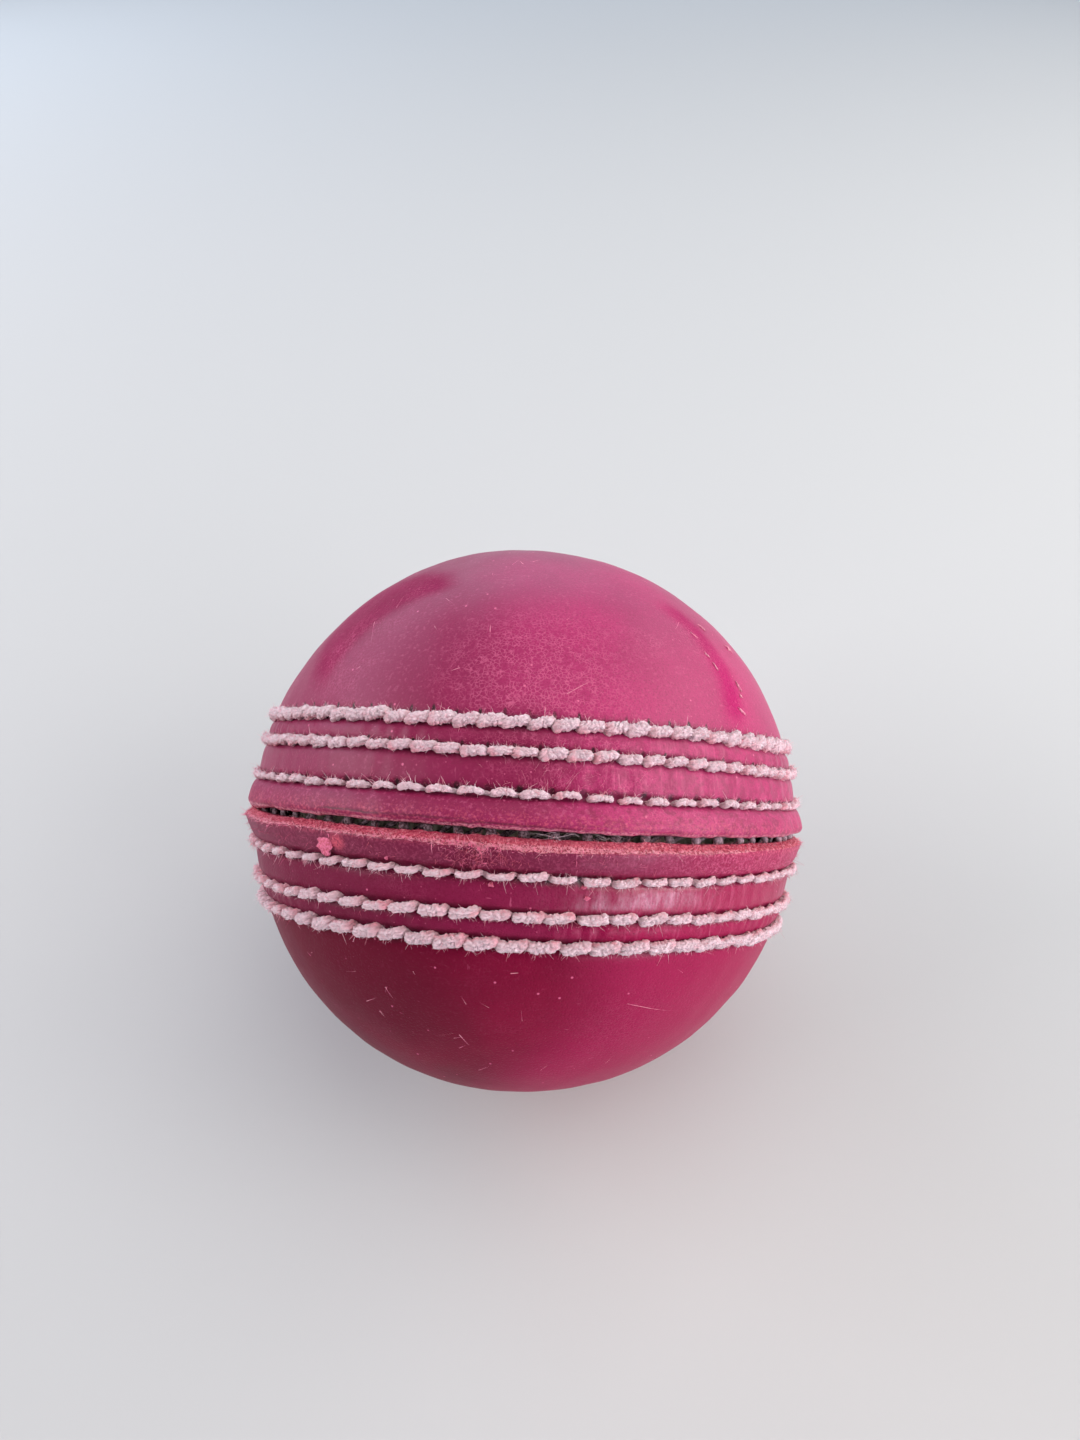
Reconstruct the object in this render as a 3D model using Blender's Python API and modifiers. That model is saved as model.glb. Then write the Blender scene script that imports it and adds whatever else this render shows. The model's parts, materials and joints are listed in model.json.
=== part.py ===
"""Cricket ball: two moulded leather cups sewn together over a quilted cork and yarn centre.

The ball is modelled in its own seam frame, with the seam in the local XY plane and the poles of
the two cups on local Z. That frame hangs on an empty at the ball's centre, which leans the seam
the way a ball comes to lie on a table after it has been rolled there. The world has +Z up.
"""

import math

import bmesh
import bpy
from mathutils import Euler

# Driving dimensions, in metres.
LEATHER_RADIUS = 0.0358
LEATHER_THICKNESS = 0.0034
CORE_RADIUS = 0.0125
CORK_THICKNESS = 0.0014
LAYER_COUNT = 4
LAYER_CLEARANCE = 0.0004
PARTING_GAP = 0.0003
YARN_EYE_RADIUS = 0.0025

# The seam: heights and spacings are measured from the seam plane outwards, rises and depths from
# the round leather.
INNER_ROW_HEIGHT = 0.0043
MIDDLE_ROW_SPACING = 0.0041
OUTER_ROW_SPACING = 0.0032
LIP_RISE = 0.0010
UPPER_LIP_CREST_HEIGHT = 0.0018
UPPER_LIP_EDGE_HEIGHT = 0.0006
LOWER_LIP_CORNER_HEIGHT = 0.0015
SLOT_HALF_WIDTH = 0.00035
SLOT_DEPTH = 0.0010
CHANNEL_HALF_WIDTH = 0.0008

# Threads. A pitch is set by the number of stitches that go round the ball.
OUTER_THREAD_RADIUS = 0.00070
MIDDLE_THREAD_RADIUS = 0.00060
INNER_THREAD_RADIUS = 0.00050
STITCH_RISE = 0.00030
STITCH_DIP = 0.00030
STITCH_SLANT = 0.00016
GROOVE_SIDE = 0.00038
SEAT_CLEARANCE = 0.00025
THREAD_END_GAP = 0.0008
LACING_RADIUS = 0.00024
LACING_CLEARANCE = 0.0003
UPPER_OUTER_STITCHES = 82
UPPER_MIDDLE_STITCHES = 80
LOWER_MIDDLE_STITCHES = 66
LOWER_OUTER_STITCHES = 66
CLOSING_STITCHES = 68

# Proportions: of a thread's radius, of a stitch's pitch and of the rise of a lip.
THREAD_WAIST = 0.5
THREAD_FOOT = 0.6
STITCH_START = 0.25
STITCH_END = 0.8
LIP_SHOULDER = 0.75
LIP_NOSE = 0.8
LIP_EDGE = 0.3

# How the ball lies, and the small spot of leather that bears on the table.
SEAM_LEAN = math.radians(49.5)
SEAM_TURN = math.radians(4.4)
REST_FLAT_DEPTH = 0.0006

# Facets.
CUP_STEPS = 40
CAP_SPANS = 9
LINING_SPANS = 7
QUILT_STEPS = 12
QUILT_SPANS = 8

MERGE_DISTANCE = 0.00001

LINING_RADIUS = LEATHER_RADIUS - LEATHER_THICKNESS
CHANNEL_DEPTH = SLOT_DEPTH + CHANNEL_HALF_WIDTH - SLOT_HALF_WIDTH
MIDDLE_ROW_HEIGHT = INNER_ROW_HEIGHT + MIDDLE_ROW_SPACING
OUTER_ROW_HEIGHT = MIDDLE_ROW_HEIGHT + OUTER_ROW_SPACING
ROWS_FROM_POLE = (
    (OUTER_ROW_HEIGHT, OUTER_THREAD_RADIUS),
    (MIDDLE_ROW_HEIGHT, MIDDLE_THREAD_RADIUS),
    (INNER_ROW_HEIGHT, INNER_THREAD_RADIUS),
)


def clear_scene():
    """Start from an empty scene."""
    for old in list(bpy.data.objects):
        bpy.data.objects.remove(old, do_unlink=True)


def make_collection(name):
    """A new collection in the scene."""
    collection = bpy.data.collections.new(name)
    bpy.context.scene.collection.children.link(collection)
    return collection


def make_material(name, colour, roughness):
    """A plain finish for one kind of piece."""
    material = bpy.data.materials.new(name)
    material.use_nodes = True
    shader = material.node_tree.nodes["Principled BSDF"]
    shader.inputs["Base Color"].default_value = (*colour, 1.0)
    shader.inputs["Roughness"].default_value = roughness
    shader.inputs["Metallic"].default_value = 0.0
    return material


def add_piece(name, data, material, collection, frame):
    """One named piece of the ball, hung on the seam frame."""
    piece = bpy.data.objects.new(name, data)
    data.materials.append(material)
    collection.objects.link(piece)
    piece.parent = frame
    return piece


def add_screw(piece, angle, steps):
    """Turn a profile about the piece's Z axis."""
    screw = piece.modifiers.new("turn", "SCREW")
    screw.axis = "Z"
    screw.angle = angle
    screw.steps = steps
    screw.render_steps = steps
    screw.use_merge_vertices = True
    screw.merge_threshold = MERGE_DISTANCE
    screw.use_smooth_shade = True


def profile_mesh(name, points, closed):
    """A chain of edges through (radius, height) points in the XZ plane."""
    count = len(points)
    edges = [(i, i + 1) for i in range(count - 1)]
    if closed:
        edges.append((count - 1, 0))
    mesh = bpy.data.meshes.new(name)
    mesh.from_pydata([(r, 0.0, z) for r, z in points], edges, [])
    return mesh


def arc(radius, start, end, spans):
    """Points on a circle round the ball's centre, from one latitude to another."""
    turns = [start + (end - start) * i / spans for i in range(spans + 1)]
    return [(radius * math.cos(turn), radius * math.sin(turn)) for turn in turns]


def on_leather(height, depth):
    """A point that lies a depth below the round leather, at a height above the seam plane."""
    latitude = math.asin(height / LEATHER_RADIUS)
    radius = LEATHER_RADIUS - depth
    return (radius * math.cos(latitude), radius * math.sin(latitude))


def groove_half_width(thread):
    """Half the width of a stitch groove, from the radius of the thread that lies in it."""
    return thread + STITCH_SLANT + GROOVE_SIDE


def groove_depth(thread):
    """The depth that keeps a thread clear of its groove under its foot and in the needle holes."""
    half_width = groove_half_width(thread)
    under_foot = THREAD_FOOT * thread - STITCH_RISE + SEAT_CLEARANCE
    in_hole = THREAD_FOOT * THREAD_WAIST * thread + STITCH_DIP + SEAT_CLEARANCE
    along_stitch = under_foot * half_width / GROOVE_SIDE
    at_holes = in_hole * half_width / (half_width - THREAD_WAIST * thread)
    return max(along_stitch, at_holes)


def band_profile():
    """The cap of a cup and its three stitch grooves, from the pole down to the lip."""
    cap_edge = math.asin((OUTER_ROW_HEIGHT + groove_half_width(OUTER_THREAD_RADIUS)) / LEATHER_RADIUS)
    points = arc(LEATHER_RADIUS, math.pi / 2, cap_edge, CAP_SPANS)[:-1]
    points[0] = (0.0, LEATHER_RADIUS)
    for height, thread in ROWS_FROM_POLE:
        half_width = groove_half_width(thread)
        points.append(on_leather(height + half_width, 0.0))
        points.append(on_leather(height, groove_depth(thread)))
        points.append(on_leather(height - half_width, 0.0))
    return points


def lip_point(height, share):
    """A point of a lip: a share of the full rise above the leather, at a height."""
    return (LEATHER_RADIUS + LIP_RISE * share, height)


def lip_shoulder(crest_height):
    """The point half way from the inner stitch groove to the crest of a lip."""
    groove_edge = INNER_ROW_HEIGHT - groove_half_width(INNER_THREAD_RADIUS)
    return lip_point((crest_height + groove_edge) / 2, LIP_SHOULDER)


def upper_lip():
    """The rolled lip of the upper cup: a round crest that turns in to the slot."""
    nose_height = (UPPER_LIP_CREST_HEIGHT + UPPER_LIP_EDGE_HEIGHT) / 2
    return [
        lip_shoulder(UPPER_LIP_CREST_HEIGHT),
        lip_point(UPPER_LIP_CREST_HEIGHT, 1.0),
        lip_point(nose_height, LIP_NOSE),
        lip_point(UPPER_LIP_EDGE_HEIGHT, LIP_EDGE),
    ]


def lower_lip():
    """The raw lip of the lower cup: a corner at the crest, then a cut face that slopes inwards."""
    return [lip_shoulder(LOWER_LIP_CORNER_HEIGHT), lip_point(LOWER_LIP_CORNER_HEIGHT, 1.0)]


def lining_profile():
    """The wall of the slot, the skived channel behind it and the lining up to the pole."""
    channel_start = math.asin(CHANNEL_HALF_WIDTH / LINING_RADIUS)
    points = [
        (LEATHER_RADIUS - SLOT_DEPTH, SLOT_HALF_WIDTH),
        (LEATHER_RADIUS - CHANNEL_DEPTH, CHANNEL_HALF_WIDTH),
    ]
    points += arc(LINING_RADIUS, channel_start, math.pi / 2, LINING_SPANS)
    points[-1] = (0.0, LINING_RADIUS)
    return points


def make_cup(name, lip, below, material, collection, frame):
    """A moulded leather cup with three stitch grooves and a lip at the seam."""
    points = band_profile() + lip + lining_profile()
    if below:
        points = [(r, -z) for r, z in reversed(points)]
    cup = add_piece(name, profile_mesh(name, points, False), material, collection, frame)
    add_screw(cup, 2 * math.pi, CUP_STEPS)
    return cup


def make_thread_section(cutters):
    """The section of a thread, drawn at unit size: a flat foot on the leather under a round ridge."""
    curve = bpy.data.curves.new("thread_section", "CURVE")
    curve.dimensions = "2D"
    spline = curve.splines.new("POLY")
    spline.points.add(2)
    spline.use_cyclic_u = True
    corners = ((-THREAD_FOOT, 1.0), (1.0, 0.0), (-THREAD_FOOT, -1.0))
    for point, (out, across) in zip(spline.points, corners):
        point.co = (out, across, 0.0, 1.0)
    section = bpy.data.objects.new("thread_section", curve)
    section.hide_render = True
    section.display_type = "WIRE"
    cutters.objects.link(section)
    return section


def thread_curve(name, points, radii, lean, section):
    """One unbroken thread along points. The section is scaled to the thread's radius at each."""
    curve = bpy.data.curves.new(name, "CURVE")
    curve.dimensions = "3D"
    curve.twist_mode = "Z_UP"
    curve.bevel_mode = "OBJECT"
    curve.bevel_object = section
    curve.use_fill_caps = True
    spline = curve.splines.new("POLY")
    spline.points.add(len(points) - 1)
    for point, place, radius in zip(spline.points, points, radii):
        point.co = (*place, 1.0)
        point.radius = radius
        point.tilt = lean
    return curve


def round_the_ball(radius, height, turn):
    """A point at a radius and height, a turn round the pole axis from the back of the ball."""
    bearing = math.pi / 2 + turn
    return (radius * math.cos(bearing), radius * math.sin(bearing), height)


def make_stitch_row(name, side, height, stitches, thread, section, material, collection, frame):
    """A row of stitches: out of a hole, up on to the leather, along it at a slant and down again."""
    end_turn = THREAD_END_GAP / LEATHER_RADIUS
    pitch = (2 * math.pi - end_turn) / stitches
    hole = (0.0, -STITCH_DIP, 0.0, THREAD_WAIST)
    foot = (STITCH_START, STITCH_RISE, -STITCH_SLANT, 1.0)
    head = (STITCH_END, STITCH_RISE, STITCH_SLANT, 1.0)
    places = [(stitch, step) for stitch in range(stitches) for step in (hole, foot, head)]
    places.append((stitches, hole))
    points = []
    radii = []
    for stitch, (along, rise, slant, share) in places:
        radius, level = on_leather(height + side * slant, -rise)
        points.append(round_the_ball(radius, side * level, end_turn / 2 + (stitch + along) * pitch))
        radii.append(thread * share)
    lean = -side * math.asin(height / LEATHER_RADIUS)
    add_piece(name, thread_curve(name, points, radii, lean, section), material, collection, frame)


def make_lacing(name, section, material, collection, frame):
    """The closing thread, which crosses from lip to lip behind the slot once in each stitch."""
    radius = LEATHER_RADIUS - CHANNEL_DEPTH - LACING_CLEARANCE - LACING_RADIUS
    reach = CHANNEL_HALF_WIDTH - LACING_CLEARANCE - LACING_RADIUS
    end_turn = THREAD_END_GAP / radius
    pitch = (2 * math.pi - end_turn) / CLOSING_STITCHES
    points = []
    for crossing in range(CLOSING_STITCHES + 1):
        side = reach if crossing % 2 else -reach
        points.append(round_the_ball(radius, side, end_turn / 2 + crossing * pitch))
    radii = [LACING_RADIUS] * len(points)
    add_piece(name, thread_curve(name, points, radii, 0.0, section), material, collection, frame)


def ball_mesh(name, radius):
    """A faceted ball. All the balls of the quilt share their facets, so that they nest."""
    mesh = bpy.data.meshes.new(name)
    shape = bmesh.new()
    bmesh.ops.create_uvsphere(shape, u_segments=QUILT_STEPS, v_segments=QUILT_SPANS, radius=radius)
    shape.to_mesh(mesh)
    shape.free()
    mesh.shade_smooth()
    return mesh


def block_mesh(name, size):
    """A cube round the origin."""
    mesh = bpy.data.meshes.new(name)
    shape = bmesh.new()
    bmesh.ops.create_cube(shape, size=size)
    shape.to_mesh(mesh)
    shape.free()
    return mesh


def add_cutter(name, mesh, cutters, frame):
    """A shape that only cuts others."""
    cutter = bpy.data.objects.new(name, mesh)
    cutter.hide_render = True
    cutter.display_type = "WIRE"
    cutter.parent = frame
    cutters.objects.link(cutter)
    return cutter


def cut_piece(piece, cutter):
    """Take a cutter's shape out of a piece."""
    cut = piece.modifiers.new(cutter.name, "BOOLEAN")
    cut.operation = "DIFFERENCE"
    cut.solver = "EXACT"
    cut.object = cutter


def make_cork_wrap(name, inner_radius, turn, material, collection, cutters, frame):
    """A cork wrap in two halves: a hollow ball, parted along the pole axis with a small gap."""
    outer_radius = inner_radius + CORK_THICKNESS
    hollow = add_cutter(f"{name}_hollow", ball_mesh(f"{name}_hollow", inner_radius), cutters, frame)
    block = 3 * outer_radius
    for side, facing in (("a", turn), ("b", turn + math.pi)):
        half_name = f"{name}_{side}"
        half = add_piece(half_name, ball_mesh(half_name, outer_radius), material, collection, frame)
        cut_piece(half, hollow)
        parting = add_cutter(
            f"{half_name}_parting", block_mesh(f"{half_name}_parting", block), cutters, frame
        )
        reach = block / 2 - PARTING_GAP / 2
        parting.location = (reach * math.cos(facing), reach * math.sin(facing), 0.0)
        parting.rotation_euler.z = facing
        cut_piece(half, parting)


def quilt_arc(radius):
    """A half circle from eye to eye of a winding, with the facets of the quilt cut off at the eyes."""
    points = arc(radius, math.pi / 2, -math.pi / 2, QUILT_SPANS)
    top = radius - YARN_EYE_RADIUS * math.tan(math.pi / QUILT_SPANS / 2)
    points[0] = (YARN_EYE_RADIUS, top)
    points[-1] = (YARN_EYE_RADIUS, -top)
    return points


def make_yarn_winding(name, inner_radius, thickness, material, collection, frame):
    """A yarn winding: a round shell with a small eye at each pole."""
    points = quilt_arc(inner_radius + thickness)
    points += reversed(quilt_arc(inner_radius))
    winding = add_piece(name, profile_mesh(name, points, True), material, collection, frame)
    add_screw(winding, 2 * math.pi, QUILT_STEPS)


def make_quilt(cork, yarn, collection, cutters, frame):
    """The core and its layers. The yarn takes up what core, cork and gaps leave of the cover."""
    add_piece("cork_core", ball_mesh("cork_core", CORE_RADIUS), cork, collection, frame)
    layer = (LINING_RADIUS - LAYER_CLEARANCE - CORE_RADIUS) / LAYER_COUNT
    yarn_thickness = layer - CORK_THICKNESS - 2 * LAYER_CLEARANCE
    facet_turn = 2 * math.pi / QUILT_STEPS
    for index in range(LAYER_COUNT):
        number = index + 1
        inside = CORE_RADIUS + LAYER_CLEARANCE + index * layer
        over_cork = inside + CORK_THICKNESS + LAYER_CLEARANCE
        turn = 2 * facet_turn * index
        make_cork_wrap(f"cork_wrap_{number}", inside, turn, cork, collection, cutters, frame)
        make_yarn_winding(f"yarn_winding_{number}", over_cork, yarn_thickness, yarn, collection, frame)


def cut_rest_flat(cup, cutters):
    """Flatten the spot of the lower cup that bears on the table, in the world's own axes."""
    size = LEATHER_RADIUS
    cutter = add_cutter("rest_flat", block_mesh("rest_flat", size), cutters, None)
    cutter.location.z = REST_FLAT_DEPTH - LEATHER_RADIUS - size / 2
    cut_piece(cup, cutter)


def main():
    """Build every piece of the ball."""
    clear_scene()
    parts = make_collection("cricket_ball")
    cutters = make_collection("cutters")
    frame = bpy.data.objects.new("seam_frame", None)
    frame.rotation_euler = Euler((-SEAM_LEAN, 0.0, -SEAM_TURN), "XYZ")
    parts.objects.link(frame)

    upper_leather = make_material("upper_leather", (0.36, 0.025, 0.075), 0.38)
    lower_leather = make_material("lower_leather", (0.28, 0.012, 0.045), 0.35)
    white_thread = make_material("white_thread", (0.72, 0.54, 0.54), 0.9)
    dark_thread = make_material("dark_thread", (0.05, 0.045, 0.045), 0.9)
    cork = make_material("cork", (0.42, 0.27, 0.15), 0.9)
    yarn = make_material("yarn", (0.62, 0.55, 0.44), 0.95)

    make_cup("upper_cup", upper_lip(), False, upper_leather, parts, frame)
    lower_cup = make_cup("lower_cup", lower_lip(), True, lower_leather, parts, frame)
    cut_rest_flat(lower_cup, cutters)

    section = make_thread_section(cutters)
    stitch_counts = (
        ("upper", 1, (UPPER_OUTER_STITCHES, UPPER_MIDDLE_STITCHES, CLOSING_STITCHES)),
        ("lower", -1, (LOWER_OUTER_STITCHES, LOWER_MIDDLE_STITCHES, CLOSING_STITCHES)),
    )
    for cup, side, counts in stitch_counts:
        for place, stitches, (height, thread) in zip(("outer", "middle", "inner"), counts, ROWS_FROM_POLE):
            name = f"{cup}_{place}_stitch_row"
            make_stitch_row(name, side, height, stitches, thread, section, white_thread, parts, frame)
    make_lacing("closing_lacing", section, dark_thread, parts, frame)

    make_quilt(cork, yarn, parts, cutters, frame)


if __name__ == "__main__":
    main()
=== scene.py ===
"""A used cricket ball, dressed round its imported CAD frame.

Laid out as a Blender add-on and run as a script. The property groups hold the sizes and colours, each
operator makes one piece or one group of like pieces, and main() runs them in order. Shapes are worked
out in the ball's seam axes: X to the right, -Y to the front and +Z to the pole of the upper cup. A
bearing is a turn to the right from the front. Lengths are in metres.
"""

import functools
import json
import math
from collections import namedtuple

import bmesh
import bpy
import numpy as np
from mathutils import Euler, Matrix, Vector
from mathutils.bvhtree import BVHTree

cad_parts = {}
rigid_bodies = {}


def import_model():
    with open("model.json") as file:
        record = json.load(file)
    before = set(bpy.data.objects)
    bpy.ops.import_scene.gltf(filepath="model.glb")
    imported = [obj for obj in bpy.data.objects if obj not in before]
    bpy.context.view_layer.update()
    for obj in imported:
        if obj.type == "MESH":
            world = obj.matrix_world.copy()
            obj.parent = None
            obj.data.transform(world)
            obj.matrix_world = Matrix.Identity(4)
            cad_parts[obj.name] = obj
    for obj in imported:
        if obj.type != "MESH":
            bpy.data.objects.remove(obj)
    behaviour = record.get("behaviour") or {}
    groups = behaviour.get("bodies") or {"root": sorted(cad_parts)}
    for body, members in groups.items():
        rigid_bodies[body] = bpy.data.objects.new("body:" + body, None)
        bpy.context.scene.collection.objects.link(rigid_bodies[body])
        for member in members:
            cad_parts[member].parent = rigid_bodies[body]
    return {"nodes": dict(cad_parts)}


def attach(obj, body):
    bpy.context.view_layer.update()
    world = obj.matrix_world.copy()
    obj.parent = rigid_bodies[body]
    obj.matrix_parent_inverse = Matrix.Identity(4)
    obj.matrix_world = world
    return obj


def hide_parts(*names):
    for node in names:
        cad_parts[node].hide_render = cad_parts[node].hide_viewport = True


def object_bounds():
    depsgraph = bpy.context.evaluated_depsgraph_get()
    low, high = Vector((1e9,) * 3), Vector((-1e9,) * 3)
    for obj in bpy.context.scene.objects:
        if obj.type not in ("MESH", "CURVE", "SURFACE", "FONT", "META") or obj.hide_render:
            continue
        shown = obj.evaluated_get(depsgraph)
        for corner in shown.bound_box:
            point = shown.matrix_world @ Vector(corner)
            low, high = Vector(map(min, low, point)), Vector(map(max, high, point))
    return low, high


bl_info = {
    "name": "Cricket Ball",
    "version": (1, 0, 0),
    "blender": (4, 5, 0),
    "location": "View3D > Sidebar > Ball",
    "description": "Makes the leather, the stitching and the stage of a used cricket ball",
    "category": "Add Mesh",
}

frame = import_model()
CAD_BOX = [list(corner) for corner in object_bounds()]

MM = 0.001
TURN = 2 * math.pi
BAKE_MAP = "OFBake"
COLUMNS = 720
CAP_ROWS = 38
BAND_ROWS = 66
NOSE_ROWS = 14
LINING_ROWS = 8
BAND_TOP = 13.6 * MM
LIP_CREST = 1.25 * MM
RINGS_ABOVE = 30
RINGS_BELOW = 4
THREAD_SIDES = 28
HAIR_RINGS = 3
HAIR_SIDES = 3
MAP_TILES = 10
ROW_REACH = 34.5 * MM
COVERS = ((1, "upper_cover", "upper_leather"), (-1, "lower_cover", "lower_leather"))

# Spots on each side of the seam: a place in millimetres, and where it starts and ends to fade. The rubbed
# spots are wear.
RUBBED_SPOTS = {
    1: (((0.5, -31.8, 16.5), 4.0, 14.0),),
    -1: (((12.4, -26.4, -20.5), 2.0, 9.0),),
}
# Darkened spots: painted shade along the upper left rim and on the lower left, and a darker patch at the
# front.
DARKENED_SPOTS = {
    1: (((-2.0, -34.9, 7.3), 3.0, 9.0), ((-19.0, -19.5, 23.5), 4.0, 10.0)),
    -1: (((-17.0, -26.5, -17.0), 6.0, 18.0),),
}
WAX_SPOT = ((-2.2, -18.1, 30.8), 6.0, 16.0)
TORN_SPOT = (-19.6, -31.0, -2.4)
SHADED_SPOT = (-1.0, -36.0, -0.7)
GLOSS_SPOT = (12.0, -33.1, -6.3)

# Strips where the wax is worn off: a centre, the inner and outer reach, a middle and its reach.
BARE_ARCS = (
    ((-9.0, -32.4, 12.4), 18.2, 32.0, (-19.0, -19.5, 23.5), 10.0),
    ((10.6, -28.8, 18.3), 12.6, 16.0, (21.5, -19.5, 21.0), 8.5),
)

# Lifted bits of leather: bearing and lean in degrees, and height, length, width and thickness in mm.
Flake = namedtuple("Flake", "bearing height length width thickness lean")
FLAKES = (
    Flake(-35.2, -2.65, 0.98, 1.00, 0.20, 70),
    Flake(11.5, -6.1, 0.26, 0.24, 0.20, 0),
    Flake(10.9, -4.95, 0.30, 0.20, 0.16, 25),
    Flake(-4.4, -5.25, 0.26, 0.20, 0.16, 0),
    Flake(-22.6, -3.4, 0.18, 0.16, 0.14, 0),
)
CHIPS = (
    Flake(51.6, 24.8, 0.55, 0.22, 0.10, -60),
    Flake(60.3, 22.7, 0.60, 0.26, 0.12, -50),
    Flake(44.2, 20.9, 0.45, 0.14, 0.06, -60),
    Flake(45.2, 19.6, 0.50, 0.16, 0.06, -75),
    Flake(51.4, 17.7, 0.60, 0.20, 0.10, -80),
    Flake(50.4, 16.6, 0.26, 0.20, 0.10, 0),
    Flake(48.4, 14.9, 0.70, 0.16, 0.07, -30),
    Flake(43.6, 23.3, 0.50, 0.10, 0.05, -40),
)

# Scratches: the bearing in degrees and the height in millimetres of one end, then of the other.
SCUFFS = (
    (6.9, 14.8, 14.6, 17.2),
    (43.2, 23.7, 45.7, 21.6),
    (44.8, 21.0, 45.3, 19.4),
    (50.6, 17.1, 49.9, 15.2),
    (48.2, 15.8, 49.0, 15.2),
    (50.4, 24.7, 51.0, 24.2),
    (23.4, 3.7, 24.1, 3.0),
    (23.9, -18.2, 42.4, -20.0),
    (9.0, -1.6, 9.1, -2.5),
    (-19.1, -15.6, -18.5, -16.4),
    (-30.9, -21.4, -29.2, -22.7),
    (-30.7, -21.3, -29.4, -22.4),
    (-26.5, -18.0, -24.7, -20.2),
    (-11.6, -22.9, -9.1, -24.7),
)

# How far the sewing wanders up, by height, all in mm: everywhere, at the left and at the right.
SEAM_DRIFT = (
    (-20.0, 0.0, 0.0, 0.0),
    (-11.6, 0.25, -0.25, -0.10),
    (-8.4, 0.0, -0.60, 0.0),
    (-4.3, -0.10, -0.15, 0.10),
    (-1.3, 0.0, 0.0, 0.0),
    (0.0, -0.05, -0.25, -0.10),
    (1.2, -0.08, -0.15, -0.15),
    (4.3, -0.34, -0.30, -0.30),
    (8.4, -0.17, -0.07, -0.75),
    (11.6, -0.39, 0.10, -0.45),
    (20.0, 0.0, 0.0, 0.0),
)

StitchRow = namedtuple("StitchRow", "node side height stitches thread start length slant arch seed")


def length_prop(name, description, default):
    """A length that a user may change."""
    return bpy.props.FloatProperty(name=name, description=description, default=default, unit="LENGTH")


def colour_prop(name, description, default):
    """A colour that a user may change."""
    return bpy.props.FloatVectorProperty(name=name, description=description, default=default, subtype="COLOR")


def level_prop(name, lamp, default):
    """The level of a lamp, as the brightness of white paper that faces it."""
    return bpy.props.FloatProperty(name=name, description=f"How bright {lamp} makes white", default=default)


class BallSizes(bpy.types.PropertyGroup):
    """The sizes of the leather, the seam and the threads. Heights are from the seam plane."""

    leather_radius: length_prop("Leather radius", "Radius of the round leather", 0.0358)
    leather_thickness: length_prop("Leather thickness", "Thickness of a cup", 0.0034)
    inner_row: length_prop("Inner row", "Height of the rows beside the lips", 0.0043)
    middle_row: length_prop("Middle row", "Height of the middle rows", 0.0084)
    outer_row: length_prop("Outer row", "Height of the outer rows", 0.0116)
    lip_rise: length_prop("Lip rise", "How far the lips stand out", 0.0010)
    upper_edge: length_prop("Upper edge", "Height of the upper lip's edge", 0.00045)
    lower_corner: length_prop("Lower corner", "Depth of the raw lip's corner", 0.0015)
    slot_depth: length_prop("Slot depth", "Depth of the open slot", 0.0010)
    outer_thread: length_prop("Outer thread", "Thread radius of the outer rows", 0.00072)
    middle_thread: length_prop("Middle thread", "Thread radius of the middle rows", 0.00062)
    inner_thread: length_prop("Inner thread", "Thread radius beside the lips", 0.00050)
    seat: length_prop("Thread seat", "Rise of a thread's middle", 0.00030)
    closing_stitches: bpy.props.IntProperty(
        name="Closing stitches", description="Strands that cross the slot", default=68
    )


class BallColours(bpy.types.PropertyGroup):
    """The colours of the ball's finishes."""

    upper_leather: colour_prop("Upper leather", "Rubbed crimson", (0.530, 0.018, 0.146))
    # upper_deep: the darker end of the upper leather's tone; the right side is painted lighter toward
    # upper_leather as painted light.
    upper_deep: colour_prop("Upper deep", "Handled crimson", (0.305, 0.011, 0.086))
    # darkened: dark leather for grit and mottling, and for painted shade on the left side and in the darkened
    # spots.
    darkened: colour_prop("Handled", "Leather dark with handling", (0.240, 0.005, 0.057))
    lower_leather: colour_prop("Lower leather", "Polished crimson", (0.285, 0.003, 0.043))
    # lower_deep: the darker end of the lower leather's tone, also used as painted shade on the lower left.
    lower_deep: colour_prop("Lower deep", "Darkened crimson", (0.132, 0.002, 0.020))
    # lower_lit: the lower leather painted brighter where light falls, as painted light.
    lower_lit: colour_prop("Polished", "Lower leather rubbed bright", (0.370, 0.006, 0.072))
    # wear_and_sheen: pale rubbed grain, also used as painted sheen on the pleats and as painted light at the
    # right of the raw lip.
    wear_and_sheen: colour_prop("Worn leather", "Rubbed grain", (0.780, 0.160, 0.310))
    # shade_and_dirt: near-black painted shade in the slot, along the thread seats, in the lip's creases and
    # on the strands, and shade with some soiling in the needle holes.
    shade_and_dirt: colour_prop("Dirt", "Dirt in holes and creases", (0.035, 0.006, 0.012))
    raw_leather: colour_prop("Raw leather", "Cut edge of the leather", (0.660, 0.098, 0.155))
    raw_nap: colour_prop("Raw nap", "Pale fibres of the cut edge", (0.950, 0.440, 0.520))
    raw_shade: colour_prop("Raw shade", "Dark fibres of the cut edge", (0.360, 0.030, 0.065))
    # lip_face: the raw lip's dark face; on the lip it fades to the right as painted light, and it darkens the
    # lower bands on the left as painted shade.
    lip_face: colour_prop("Lip face", "Dark face of the raw lip", (0.200, 0.022, 0.068))
    flake: colour_prop("Flake", "Torn leather", (1.000, 0.240, 0.420))
    thread: colour_prop("Thread", "White thread gone pink", (1.000, 0.740, 0.800))
    thread_stain: colour_prop("Thread stain", "Dye on the thread", (0.920, 0.330, 0.400))
    # thread_shade_and_grime: painted shade in the thread's crinkles and wrinkles, with a little soiling in
    # the fibre.
    thread_shade_and_grime: colour_prop("Thread grime", "Grime on the thread", (0.500, 0.220, 0.270))
    strand: colour_prop("Strand", "Dark closing strands", (0.560, 0.400, 0.460))
    cork: colour_prop("Cork", "Pressed cork", (0.42, 0.27, 0.15))
    yarn: colour_prop("Yarn", "Wound worsted", (0.62, 0.55, 0.44))


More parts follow.
